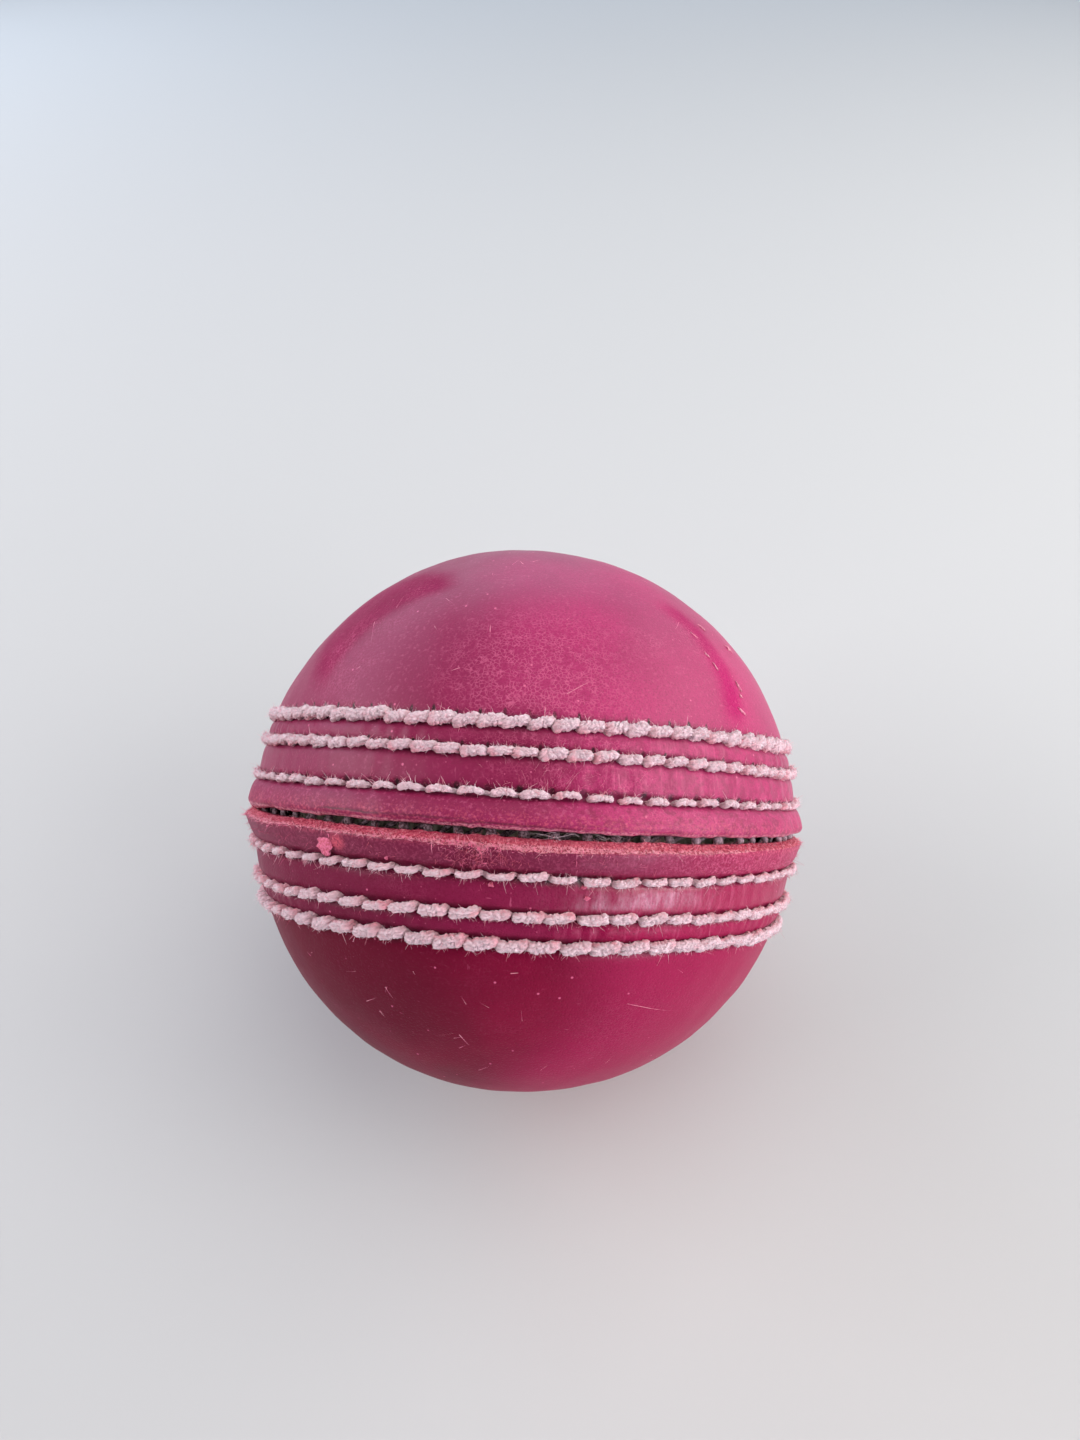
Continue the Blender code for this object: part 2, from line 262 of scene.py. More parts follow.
class StageSettings(bpy.types.PropertyGroup):
    """The floor, the light and the camera."""

    lens: bpy.props.FloatProperty(name="Lens", description="Focal length", default=24.0, unit="CAMERA")
    film_height: bpy.props.FloatProperty(
        name="Film height", description="Height of the picture on the sensor", default=36.0, unit="CAMERA"
    )
    pitch: bpy.props.FloatProperty(
        name="Pitch", description="How far the camera looks down", default=math.radians(47), unit="ROTATION"
    )
    distance: bpy.props.FloatProperty(
        name="Distance", description="From the camera to the ball's middle", default=0.1329, unit="LENGTH"
    )
    ball_column: bpy.props.FloatProperty(
        name="Ball column", description="Picture column of the ball's middle, in pixels", default=525.8
    )
    ball_line: bpy.props.FloatProperty(
        name="Ball line", description="Picture line of the ball's middle, in pixels", default=814.1
    )
    floor: colour_prop("Floor", "Pale floor", (0.60, 0.60, 0.59))
    daylight: bpy.props.FloatProperty(name="Daylight", description="Level of the even light", default=0.12)
    window: level_prop("Window", "the right softbox", 0.43)
    window_front: level_prop("Window front", "the softbox at the front right", 0.45)
    window_back: level_prop("Window back", "the softbox at the back right", 0.13)
    wall: level_prop("Wall", "the strip behind", 0.34)
    wall_left: level_prop("Wall left", "the strip at the back left", 0.38)
    left: level_prop("Left", "the left softbox", 0.72)
    ceiling: level_prop("Ceiling", "the overhead light", 0.34)
    glint: level_prop("Glint", "the low lamp in front", 0.40)


def seam_axes():
    """The seam axes in the row frame: the pole runs through the middle of the upper cup."""
    cup = np.array([vertex.co for vertex in frame["nodes"]["upper_cup"].data.vertices])
    pole = Vector(np.unique(cup.round(6), axis=0).mean(axis=0)).normalized()
    right = (Vector((1, 0, 0)) - pole * pole.x).normalized()
    return np.array(Matrix((right, pole.cross(right), pole)).transposed())


SEAM = seam_axes()


def round_ball(bearing, latitude, distance):
    """Points at a bearing, a latitude from the seam plane and a distance from the ball's middle."""
    reach = distance * np.cos(latitude)
    return np.stack((reach * np.sin(bearing), -reach * np.cos(bearing), distance * np.sin(latitude)), -1)


def ease(value, low, high):
    """A soft step from 0 at low to 1 at high."""
    share = np.clip((value - low) / (high - low), 0, 1)
    return share * share * (3 - 2 * share)


def hump(value, low, high):
    """A round hump between low and high, and 0 outside them."""
    return np.sin(np.pi * np.clip((value - low) / (high - low), 0, 1))


def thread_sides(line):
    """Unit ways to the side of and up from a closed line of points on the ball."""
    ahead = np.roll(line, -1, 0) - np.roll(line, 1, 0)
    ahead /= np.linalg.norm(ahead, axis=1, keepdims=True)
    out = line / np.linalg.norm(line, axis=1, keepdims=True)
    sideways = np.cross(ahead, out)
    sideways /= np.linalg.norm(sideways, axis=1, keepdims=True)
    return sideways, np.cross(sideways, ahead)


def swell(points, size, seed, waves=24):
    """Smooth unevenness over points, of unit spread, with humps of about a size."""
    draw = np.random.default_rng(seed)
    ways = draw.normal(size=(waves, 3))
    ways *= TURN / size * draw.uniform(0.6, 1.4, (waves, 1)) / np.linalg.norm(ways, axis=1, keepdims=True)
    phases = draw.uniform(0, TURN, waves)
    return np.cos(points @ ways.T + phases).sum(-1) / math.sqrt(waves / 2)


def ripple(bearing, fewest, most, seed, waves=16):
    """Smooth unevenness round the ball, of unit spread, with from fewest to most humps in a turn."""
    draw = np.random.default_rng(seed)
    counts = draw.integers(fewest, most, waves)
    phases = draw.uniform(0, TURN, waves)
    return np.cos(bearing[..., None] * counts + phases).sum(-1) / math.sqrt(waves / 2)


def near_bearing(bearing, spot, width):
    """1 at the bearing of a spot, fading to 0 over about a width, both in degrees."""
    away = (bearing - math.radians(spot) + math.pi) % TURN - math.pi
    return np.exp(-((away / math.radians(width)) ** 2))


def stitch_rows(sizes):
    """The six rows of stitches. A row starts at the bearing of the needle hole nearest the front."""
    closing = sizes.closing_stitches
    outer, middle, inner = sizes.outer_thread, sizes.middle_thread, sizes.inner_thread
    return (
        StitchRow("upper_outer_stitch_row", 1, sizes.outer_row, 82, outer, 0.3, 1.12, 0.66, 0.0, 11),
        StitchRow("upper_middle_stitch_row", 1, sizes.middle_row, 80, middle, -2.0, 0.93, 0.40, 0.0, 12),
        StitchRow("upper_inner_stitch_row", 1, sizes.inner_row, closing, inner, -0.6, 0.75, 0.10, 0.22, 13),
        StitchRow("lower_inner_stitch_row", -1, sizes.inner_row, closing, inner, -0.4, 0.79, 0.30, 0.07, 14),
        StitchRow("lower_middle_stitch_row", -1, sizes.middle_row, 66, middle, -0.7, 0.89, 0.40, 0.0, 15),
        StitchRow("lower_outer_stitch_row", -1, sizes.outer_row, 66, outer, -3.2, 1.08, 0.62, 0.0, 16),
    )


def seam_drift(points):
    """Points in the seam axes, moved up or down a little where the sewing wanders off its level."""
    bearing = np.arctan2(points[..., 0], -points[..., 1])
    table = np.array(SEAM_DRIFT).T
    height = points[..., 2] / MM
    shift = np.interp(height, table[0], table[1])
    shift += near_bearing(bearing, -62, 26) * np.interp(height, table[0], table[2])
    shift += near_bearing(bearing, 62, 24) * np.interp(height, table[0], table[3])
    reach = np.linalg.norm(points, axis=-1)
    around = np.hypot(points[..., 0], points[..., 1])
    latitude = np.arctan2(points[..., 2], around) + shift * MM / np.maximum(reach, MM)
    return round_ball(bearing, latitude, reach)


class Value:
    """A socket in an expression. Arithmetic on it adds Math nodes to its finish."""

    def __init__(self, finish, socket):
        self.finish = finish
        self.socket = socket

    def math(self, operation, *others):
        """A Math node on this value and others."""
        terms = dict(enumerate((self, *others)))
        return self.finish.value("Math", {"operation": operation}, terms)

    def __add__(self, other):
        return self.math("ADD", other)

    def __sub__(self, other):
        return self.math("SUBTRACT", other)

    def __rsub__(self, other):
        return self.finish.value("Math", {"operation": "SUBTRACT"}, {0: other, 1: self})

    def __mul__(self, other):
        return self.math("MULTIPLY", other)

    def __truediv__(self, other):
        return self.math("DIVIDE", other)

    def __neg__(self):
        return self * -1.0

    def __abs__(self):
        return self.math("ABSOLUTE")

    __radd__ = __add__
    __rmul__ = __mul__

    def between(self, low, high):
        """A soft step from 0 at low to 1 at high."""
        settings = {"interpolation_type": "SMOOTHSTEP"}
        return self.finish.value("MapRange", settings, {"Value": self, "From Min": low, "From Max": high})


class Finish:
    """A node material in the making, and its one Principled shader."""

    def __init__(self, name):
        self.material = bpy.data.materials.new(name)
        self.material.use_nodes = True
        self.tree = self.material.node_tree
        self.shader = self.tree.nodes["Principled BSDF"]

    def feed(self, socket, given):
        """Link a value or a socket to a socket, or set a plain number or colour."""
        if isinstance(given, Value):
            given = given.socket
        if isinstance(given, bpy.types.NodeSocket):
            self.tree.links.new(given, socket)
        elif socket.type == "RGBA" and len(given) == 3:
            socket.default_value = (*given, 1.0)
        else:
            socket.default_value = given

    def node(self, kind, settings=None, sockets=None):
        """A node of a kind: its settings are set first, then its sockets are set or linked."""
        made = self.tree.nodes.new("ShaderNode" + kind)
        for name, setting in (settings or {}).items():
            setattr(made, name, setting)
        for key, given in (sockets or {}).items():
            self.feed(made.inputs[key], given)
        return made

    def value(self, kind, settings=None, sockets=None, output=0):
        """One output of a new node, for use in an expression."""
        return Value(self, self.node(kind, settings, sockets).outputs[output])

    def place(self):
        """Where a point lies in the seam axes, in millimetres."""
        held = self.value("Attribute", {"attribute_name": "seam"}, None, "Vector")
        return self.value("VectorMath", {"operation": "SCALE"}, {0: held, "Scale": 1 / MM})

    def stretched(self, vector, amounts):
        """A vector with each of its parts scaled."""
        return self.value("VectorMath", {"operation": "MULTIPLY"}, {0: vector, 1: amounts})

    def parts(self, vector):
        """The three parts of a vector."""
        split = self.node("SeparateXYZ", None, {0: vector})
        return [Value(self, output) for output in split.outputs]

    def held(self, name):
        """A number that the mesh holds at each point."""
        return self.value("Attribute", {"attribute_name": name}, None, "Fac")

    def noise(self, vector, scale, detail=2.0, roughness=0.5):
        """Cloudy noise from 0 to 1."""
        sockets = {"Vector": vector, "Scale": scale, "Detail": detail, "Roughness": roughness}
        return self.value("TexNoise", None, sockets)

    def clouds(self, vector, scale):
        """Cloudy noise as a vector."""
        return self.value("TexNoise", None, {"Vector": vector, "Scale": scale}, "Color")

    def cells(self, vector, scale, feature):
        """Distances in a pattern of cells."""
        return self.value("TexVoronoi", {"feature": feature}, {"Vector": vector, "Scale": scale})

    def close_to(self, place, spot, near, far):
        """1 close to a spot, falling to 0 between two distances in millimetres."""
        away = self.value("VectorMath", {"operation": "DISTANCE"}, {0: place, 1: spot}, "Value")
        return 1 - away.between(near, far)

    def close_to_any(self, place, spots):
        """1 close to any of some spots, falling to 0 round them."""
        shares = [self.close_to(place, *spot) for spot in spots]
        most = shares[0]
        for share in shares[1:]:
            most = most.math("MAXIMUM", share)
        return most

    def blend(self, share, first, second):
        """A colour between two, by a share of the second."""
        sockets = {0: share, 6: first, 7: second}
        return self.value("Mix", {"data_type": "RGBA"}, sockets, 2)

    def bump(self, height, depth, strength=1.0):
        """A normal that shows a height from 0 to 1 as a relief of a depth."""
        sockets = {"Height": height, "Distance": depth, "Strength": strength}
        return self.value("Bump", None, sockets)

    def set(self, **sockets):
        """Set or link the shader's own sockets, named with underscores for spaces."""
        for name, given in sockets.items():
            self.feed(self.shader.inputs[name.replace("_", " ")], given)
        return self.material


def grid_faces(rows, columns, closed, flip):
    """Quads over a grid whose columns close into a ring, with their corners as rows and columns."""
    spans = rows if closed else rows - 1
    row, column = (side.ravel() for side in np.meshgrid(range(spans), range(columns), indexing="ij"))
    corners = np.stack(((row, column), (row + 1, column), (row + 1, column + 1), (row, column + 1)), 1)
    corners = corners.transpose(2, 1, 0)
    if flip:
        corners = corners[:, ::-1]
    faces = (corners[..., 0] % rows) * columns + corners[..., 1] % columns
    return faces, corners


def add_piece(name, points, faces, material, held=None, flat_map=None, replaced=()):
    """A mesh piece of the ball from points in the seam axes, in its place in the row frame."""
    mesh = bpy.data.meshes.new(name)
    mesh.from_pydata((seam_drift(points) @ SEAM.T).tolist(), [], faces)
    mesh.polygons.foreach_set("use_smooth", np.ones(len(mesh.polygons), bool))
    seam = mesh.attributes.new("seam", "FLOAT_VECTOR", "POINT")
    seam.data.foreach_set("vector", points.astype(np.float32).ravel())
    for key, numbers in (held or {}).items():
        attribute = mesh.attributes.new(key, "FLOAT", "POINT")
        attribute.data.foreach_set("value", np.asarray(numbers, np.float32).ravel())
    if flat_map is not None:
        layer = mesh.uv_layers.new(name=BAKE_MAP)
        layer.uv.foreach_set("vector", np.asarray(flat_map, np.float32).ravel())
    mesh.materials.append(material)
    mesh.update()
    piece = bpy.data.objects.new(name, mesh)
    bpy.context.scene.collection.objects.link(piece)
    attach(piece, "root")
    if replaced:
        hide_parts(*replaced)
    return piece


def band_rise(height, sizes):
    """How far the leather stands above the ball at a height: valleys at the stitches and a flared lip."""
    inner, middle, outer = sizes.inner_row, sizes.middle_row, sizes.outer_row
    rise = 0.10 * MM * hump(height, middle, outer) + 0.02 * MM * hump(height, inner, middle)
    threads = (sizes.inner_thread, sizes.middle_thread, sizes.outer_thread)
    for row, thread in zip((inner, middle, outer), threads):
        rise -= 0.34 * MM * np.exp(-(((height - row) / (1.15 * thread)) ** 2))
    foot = inner - 0.4 * MM
    flare = np.clip((foot - height) / (foot - LIP_CREST), 0, 1)
    return rise + sizes.lip_rise * flare**0.75


def cover_profile(side, sizes):
    """A cup's profile from its pole, round its lip and back along its lining, as latitude and distance."""
    radius = sizes.leather_radius
    cap = np.linspace(math.pi / 2, math.asin(BAND_TOP / radius), CAP_ROWS, endpoint=False)[1:]
    heights = np.linspace(BAND_TOP, LIP_CREST, BAND_ROWS)
    rises = band_rise(heights, sizes)
    share = np.linspace(0, 1, NOSE_ROWS + 1)[1:]
    if side > 0:
        roll = share * math.pi / 2
        nose = LIP_CREST - (LIP_CREST - sizes.upper_edge) * np.sin(roll)
        nose_rise = sizes.lip_rise * np.cos(roll)
        wall = ((0.42, -0.5), (0.36, -1.0), (0.80, -1.45))
    else:
        nose = LIP_CREST - (LIP_CREST - 0.35 * MM) * share
        nose_rise = sizes.lip_rise * (1 - share) ** 1.15
        wall = ((0.38, -0.5), (0.42, -1.0), (0.80, -1.45))
    wall_heights, wall_rises = np.array(wall).T * MM
    heights = np.concatenate((heights, nose, wall_heights))
    rises = np.concatenate((rises, nose_rise, wall_rises))
    lining_radius = radius - sizes.leather_thickness
    lining = np.linspace(math.asin(0.8 * MM / lining_radius), math.pi / 2, LINING_ROWS, endpoint=False)
    latitude = np.concatenate((cap, np.arcsin(heights / radius), lining))
    cap_distance, lining_distance = np.full(len(cap), radius), np.full(len(lining), lining_radius)
    distance = np.concatenate((cap_distance, radius + rises, lining_distance))
    row = np.arange(len(latitude))
    nose_first = len(cap) + BAND_ROWS
    outside = row < nose_first + NOSE_ROWS
    raw = (row >= nose_first) & (side < 0)
    return latitude, distance, outside, raw


def hole_pull(bearing, height, row):
    """How strongly the needle holes of a row pull the leather in, from 0 to 1."""
    cell = (bearing - math.radians(row.start)) * row.stitches / TURN
    along = (cell - np.round(cell)) * TURN / row.stitches * ROW_REACH
    across = height - row.height
    return np.exp(-(along**2 + across**2) / (0.5 * MM) ** 2)


def lip_creases(bearing, height):
    """The two fine creases along the rolled lip, from 0 to 1."""
    creases = np.zeros_like(height)
    in_front = near_bearing(bearing, -22, 36)
    for line, width, seed in ((1.28, 0.12, 31), (0.90, 0.10, 33)):
        shifted = height / MM - line - 0.10 * ripple(bearing, 4, 20, seed)
        strength = np.clip(0.45 + 0.55 * ripple(bearing, 3, 24, seed + 1), 0, 1) * in_front
        creases = np.maximum(creases, strength * np.exp(-((shifted / width) ** 2)))
    return creases


def cover_points(side, sizes):
    """A cup's points as rows and columns: its profile turned round the poles, with folds and wear."""
    latitude, distance, outside, raw = cover_profile(side, sizes)
    bearing = np.arange(COLUMNS) / COLUMNS * TURN
    bearing, latitude = np.meshgrid(bearing, latitude)
    distance = np.repeat(distance[:, None], COLUMNS, 1)
    height = sizes.leather_radius * np.sin(latitude)
    inner, middle, outer = sizes.inner_row, sizes.middle_row, sizes.outer_row
    seed = 20 if side > 0 else 40
    skin = outside[:, None]

    puckered = 0.3 + 0.7 * near_bearing(bearing, 30, 40)
    fold_depth = (0.06 if side > 0 else 0.025) * MM * puckered
    folds = fold_depth * hump(height, inner, middle) * ripple(bearing, 40, 110, seed)
    folds += 0.035 * MM * hump(height, middle, outer) * ripple(bearing, 60, 130, seed + 1)
    for row in stitch_rows(sizes):
        if row.side == side:
            folds -= 0.20 * MM * hole_pull(bearing, height, row)
    at_lip = 1 - ease(height, 2.2 * MM, inner)
    waves = at_lip * (0.05 * ripple(bearing, 4, 22, seed + 2) + 0.025 * ripple(bearing, 30, 90, seed + 3))
    at_edge = 1 - ease(height, 0.9 * MM, 2.6 * MM)
    wander = at_edge * (0.07 * ripple(bearing, 8, 40, seed + 4) + 0.04 * ripple(bearing, 60, 160, seed + 5))
    crease = np.zeros_like(height)
    if side > 0:
        wander = wander - 0.45 * at_edge * near_bearing(bearing, -74, 15)
        crease = skin * lip_creases(bearing, height)
        folds += 0.12 * MM * hump(height, 1.0 * MM, inner) - 0.09 * MM * crease
    else:
        at_corner = at_edge * ease(height, 0.35 * MM, 1.0 * MM)
        torn = 0.34 * near_bearing(bearing, 4, 17) + 0.45 * near_bearing(bearing, -6.1, 0.9)
        wander = wander + at_corner * (0.05 + torn - 0.30 * near_bearing(bearing, 62, 20))
    fray = raw[:, None] * 0.06 * MM * ripple(bearing + 40 * height, 150, 330, seed + 6)

    points = round_ball(bearing, latitude, distance)
    dents = 0.10 * MM * swell(points, 26 * MM, seed + 7) + 0.018 * MM * swell(points, 5 * MM, seed + 8)
    distance = distance + skin * (folds + waves * MM + fray + dents)
    latitude = latitude + skin * wander * MM / sizes.leather_radius
    points = round_ball(bearing, latitude, distance)
    points[..., 2] *= side
    every = np.ones(COLUMNS)
    held = {"raw": raw[:, None] * every, "slot": ~outside[:, None] * every, "crease": crease}
    return points, held


def rest_on_floor(points):
    """Press points in seam axes up to the floor's level where they would sink below it."""
    up = SEAM[2]
    sunk = np.maximum(CAD_BOX[0][2] - points @ up, 0)
    return points + sunk[..., None] * up


def make_cover(name, node, side, material, context):
    """One leather cup: outside, lip and lining in one closed skin."""
    sizes = context.scene.ball_sizes
    points, held = cover_points(side, sizes)
    rows = len(points)
    faces, corners = grid_faces(rows, COLUMNS, False, side < 0)
    flat_map = corners[..., ::-1] / (COLUMNS, rows)
    poles = np.array(((0, 0, sizes.leather_radius), (0, 0, sizes.leather_radius - sizes.leather_thickness)))
    poles[:, 2] *= side
    first = rows * COLUMNS
    column = np.arange(COLUMNS)
    after = (column + 1) % COLUMNS
    last_row = (rows - 1) * COLUMNS
    caps = [np.stack((np.full(COLUMNS, first), column, after), 1)]
    caps.append(np.stack((last_row + after, last_row + column, np.full(COLUMNS, first + 1)), 1))
    if side < 0:
        caps = [cap[:, ::-1] for cap in caps]
    caps = np.concatenate(caps)
    cap_map = np.zeros((len(caps), 3, 2))
    cap_map[..., 0] = (np.tile(column, 2)[:, None] + 0.5) / COLUMNS
    cap_map[COLUMNS:, :, 1] = (rows - 1) / rows
    everything = rest_on_floor(np.concatenate((points.reshape(-1, 3), poles)))
    held = {key: np.concatenate((numbers.ravel(), (0, 1))) for key, numbers in held.items()}
    held["raw"][-1] = 0
    both_maps = np.concatenate((flat_map.reshape(-1, 2), cap_map.reshape(-1, 2)))
    return add_piece(
        name, everything, faces.tolist() + caps.tolist(), material, held, both_maps, (node,)
    )


def hole_shade_and_dirt(bearing, height, rows, ragged):
    """Ragged needle holes at the ends of the stitches, darkened as painted shade with some soiling, from 0 to
    1.
    """
    marks = None
    for row in rows:
        cell = (bearing - math.radians(row.start)) * (row.stitches / TURN) + 0.5
        along = (cell.math("FRACT") - 0.5) * (TURN * 34.0 / row.stitches)
        raised = (1.3 if row.length > 1 else 0.9) * row.thread / MM if row.side > 0 else 0.0
        across = height - (row.side * row.height / MM + raised)
        narrow, short = (0.9, 0.75) if row.arch else (1.5, 0.7)
        away = (along * along * narrow**2 + across * across * short**2).math("SQRT") + ragged
        mark = 1 - away.between(0.16, 0.40)
        marks = mark if marks is None else marks.math("MAXIMUM", mark)
    return marks


def seat_shade(height, rows):
    """Painted shade along the threads where they sit in the leather, from 0 to 1."""
    seat_darkness = None
    for row in rows:
        away = abs(height - row.side * row.height / MM)
        line = 1 - away.between(0.7 * row.thread / MM, 1.75 * row.thread / MM)
        seat_darkness = line if seat_darkness is None else seat_darkness.math("MAXIMUM", line)
    return seat_darkness


def leather_finish(name, side, context):
    """Waxed crimson leather: grain, rubbed crackle, scratches, needle holes and the raw cut edge, with
    painted shade and light.
    """
    colours = context.scene.ball_colours
    finish = Finish(name)
    place = finish.place()
    x, y, height = finish.parts(place)
    depth = abs(height)
    bearing = x.math("ARCTAN2", -y)
    rows = [row for row in stitch_rows(context.scene.ball_sizes) if row.side == side]

    mottle = finish.noise(place, 0.9, 4.0, 0.6)
    grain = finish.noise(place, 2.4, 3.0, 0.6)
    fine = finish.noise(place, 6.0, 2.0, 0.6)
    nap = finish.noise(place, 3.4, 4.0, 0.7)
    tone = finish.noise(place, 0.07, 3.0).between(0.30, 0.70)
    rubbed = finish.noise(place, 0.085, 2.0).between(0.54, 0.76)
    rubbed = rubbed.math("MAXIMUM", finish.close_to_any(place, RUBBED_SPOTS[side]))
    # Painted shade on the upper left rim and the lower left, and a darker patch at the front.
    darkened = finish.close_to_any(place, DARKENED_SPOTS[side])
    bent = finish.value("VectorMath", {"operation": "SCALE"}, {0: finish.clouds(place, 1.4), "Scale": 0.6})
    warped = finish.value("VectorMath", {"operation": "ADD"}, {0: place, 1: bent})
    crackle = 1 - finish.cells(warped, 2.5, "DISTANCE_TO_EDGE").between(0.01, 0.13)
    crackle = crackle * rubbed * mottle.between(0.34, 0.58)
    pores = finish.cells(place, 3.2, "F1").between(0.0, 0.55)

    streaks = finish.noise(finish.stretched(place, (0.22, 3.2, 2.6)), 1.0, 2.0).between(0.70, 0.78)
    cross = finish.noise(finish.stretched(place, (2.4, 1.9, 0.25)), 1.0, 2.0).between(0.72, 0.80)
    scratches = streaks.math("MAXIMUM", cross) * finish.noise(place, 0.16).between(0.45, 0.65)
    specks = 1 - finish.cells(place, 0.42, "F1").between(0.04, 0.075)
    flecks = 1 - finish.cells(place, 0.9, "F1").between(0.03, 0.09)

    reach = (x * x + y * y).math("SQRT")
    spoke = finish.value("CombineXYZ", None, {0: x / reach * 70.0, 1: y / reach * 70.0, 2: height * 0.35})
    pleats = finish.noise(spoke, 1.0, 3.0, 0.6)
    strands = finish.noise(finish.stretched(spoke, (1.8, 1.8, 3.4)), 1.0, 4.0, 0.7)
    puckered = 0.04 + finish.close_to(place, (16.0, -31.0, side * 6.5), 6.0, 18.0) * 0.96
    on_lip = 1 - depth.between(3.3, 3.9)
    in_band = (1 - depth.between(11.4, 12.4)) * (1 - on_lip)

    holes = hole_shade_and_dirt(bearing, height, rows, (mottle - 0.5) * 0.45)
    # Painted shade along the thread seats, patchy with the mottling.
    seats = seat_shade(height, rows) * mottle.between(0.25, 0.60)
    if side > 0:
        # Random tone, and the right side painted lighter as painted light.
        tone_and_light = tone * 0.5 + x.between(-2.0, 16.0) * 0.5
        colour = finish.blend(tone_and_light, colours.upper_deep, colours.upper_leather)
        dark, speckle, grit, net, band_share = colours.darkened, 0.24, 0.55, 0.50, 0.50
        # Painted shade: the left side of the upper cup darker.
        left_shade = x.between(2.0, -12.0) * 0.8
        wax = 0.42 + x.between(4.0, 20.0) * 0.25 + finish.close_to(place, *WAX_SPOT) * 0.40
        for centre, inner, outer, middle, length in BARE_ARCS:
            arc = finish.close_to(place, middle, length - 2.0, length + 2.0)
            arc = arc * finish.close_to(place, centre, outer - 1.2, outer + 1.2)
            wax = wax * (1 - arc * (1 - finish.close_to(place, centre, inner - 1.6, inner + 1.6)))
    else:
        colour = finish.blend(tone * 0.5 + 0.25, colours.lower_deep, colours.lower_leather)
        dark, speckle, grit, net, band_share = colours.lower_deep, 0.05, 0.30, 0.10, 0.10
        # Painted shade: the left side of the lower cup darker.
        left_shade = x.between(0.0, -18.0) * 0.7
        # Painted light: the bottom right and the bands painted brighter.
        lit_share = (x + height.between(-18.0, -30.0) * 9.0).between(2.0, 15.0).math("MAXIMUM", in_band * 0.7)
        colour = finish.blend(lit_share, colour, colours.lower_lit)
        wax = 0.08 + x.between(0.0, 22.0) * 0.14 + on_lip * 0.15
        shiny = x.between(-8.0, 6.0) * 0.35 + finish.close_to(place, GLOSS_SPOT, 5.0, 13.0) * 0.65
        streaked = 0.40 + strands.between(0.36, 0.62) * 0.60
        wax = wax + in_band * (1 - depth.between(7.4, 8.6)) * shiny * streaked
    # Painted shade on the left side and in the darkened spots.
    colour = finish.blend((darkened * 0.95).math("MAXIMUM", left_shade), colour, dark)
    if side < 0:
        # Painted shade: the lower bands darker on the left and in the middle.
        band_shade = in_band * (1 - x.between(0.0, 12.0)) * 0.55
        colour = finish.blend(band_shade, colour, colours.lip_face)
    colour = finish.blend(fine.between(0.50, 0.34) * grit, colour, dark)
    colour = finish.blend(grain.between(0.52, 0.76) * speckle, colour, colours.wear_and_sheen)
    colour = finish.blend(crackle * net, colour, colours.wear_and_sheen)
    colour = finish.blend(in_band * mottle.between(0.62, 0.38) * band_share, colour, dark)
    # Painted sheen on the pleats of the bands, strongest to the right.
    pleat_sheen = pleats.between(0.50, 0.68) * puckered * in_band
    colour = finish.blend(pleat_sheen * 0.22, colour, colours.wear_and_sheen)
    colour = finish.blend(flecks * (in_band + on_lip) * 0.5, colour, colours.wear_and_sheen)
    colour = finish.blend((scratches * 0.5).math("MAXIMUM", specks * 0.8), colour, colours.wear_and_sheen)
    colour = finish.blend(seats * 0.6, colour, colours.shade_and_dirt)
    # Needle holes darkened as painted shade with some soiling.
    colour = finish.blend(holes * finish.noise(place, 0.45).between(0.30, 0.55), colour, colours.shade_and_dirt)
    roughness = 0.38 + mottle * 0.14 + scratches * 0.2 - in_band * 0.06 + on_lip * 0.14
    relief = pores * 0.40 + crackle * 0.25 - scratches * 0.3 - holes * 0.8 + pleats * puckered * in_band * 0.8
    relief = relief + nap * on_lip * 0.8
    if side > 0:
        stipple = (1 - depth.between(0.9, 3.4)) * nap.between(0.48, 0.62)
        frayed = (1 - depth.between(0.62, 0.90)) * nap.between(0.40, 0.58)
        colour = finish.blend(on_lip * mottle.between(0.56, 0.36) * 0.7, colour, dark)
        colour = finish.blend(on_lip * grain.between(0.52, 0.66) * 0.16, colour, colours.wear_and_sheen)
        colour = finish.blend(stipple * 0.60, colour, colours.raw_leather)
        # Painted shade in the lip's two creases.
        colour = finish.blend(finish.held("crease") * 0.85, colour, colours.shade_and_dirt)
        colour = finish.blend(frayed * 0.6, colour, colours.raw_nap)
    else:
        raw = finish.held("raw")
        # The raw lip's dark face, faded out toward the right as painted light.
        colour = finish.blend(on_lip * (0.60 - x.between(8.0, 26.0) * 0.50), colour, colours.lip_face)
        # Pitted grain, painted lighter toward the right as painted light.
        pits_and_light = nap.between(0.46, 0.62) * on_lip * (0.16 + x.between(10.0, 26.0) * 0.34)
        colour = finish.blend(pits_and_light, colour, colours.wear_and_sheen)
        faded = (1 - depth.between(1.3, 1.9)) * nap.between(0.40, 0.60)
        colour = finish.blend(faded * 0.40, colour, colours.raw_leather)
        ragged_edge = (depth + mottle * 0.5).between(1.15, 1.50) * nap.between(0.43, 0.54)
        cut = finish.blend(nap.between(0.42, 0.53), colours.raw_shade, colours.raw_leather)
        cut = finish.blend(nap.between(0.54, 0.66) * 0.6, cut, colours.raw_nap)
        shaded = finish.close_to(place, SHADED_SPOT, 7.0, 15.0) * (1 - depth.between(0.45, 1.0))
        cut = finish.blend(shaded * 0.6, cut, colours.raw_shade)
        cut = finish.blend(ragged_edge * 0.75, cut, colours.raw_nap)
        torn = finish.close_to(place, TORN_SPOT, 0.3, 1.4) * nap.between(0.34, 0.52)
        colour = finish.blend(torn, colour, colours.raw_leather)
        colour = finish.blend(raw, colour, cut)
        roughness = roughness + raw * 0.5
        relief = relief + raw * nap * 1.6
    # Painted shade inside the slot.
    colour = finish.blend(finish.held("slot") * 0.8, colour, colours.shade_and_dirt)
    return finish.set(
        Base_Color=colour,
        Roughness=roughness,
        Normal=finish.bump(relief, 0.10 * MM, 0.8),
        Specular_IOR_Level=0.05,
        Coat_Weight=wax,
        Coat_Roughness=0.50 if side > 0 else 0.30,
        Coat_IOR=1.65,
    )


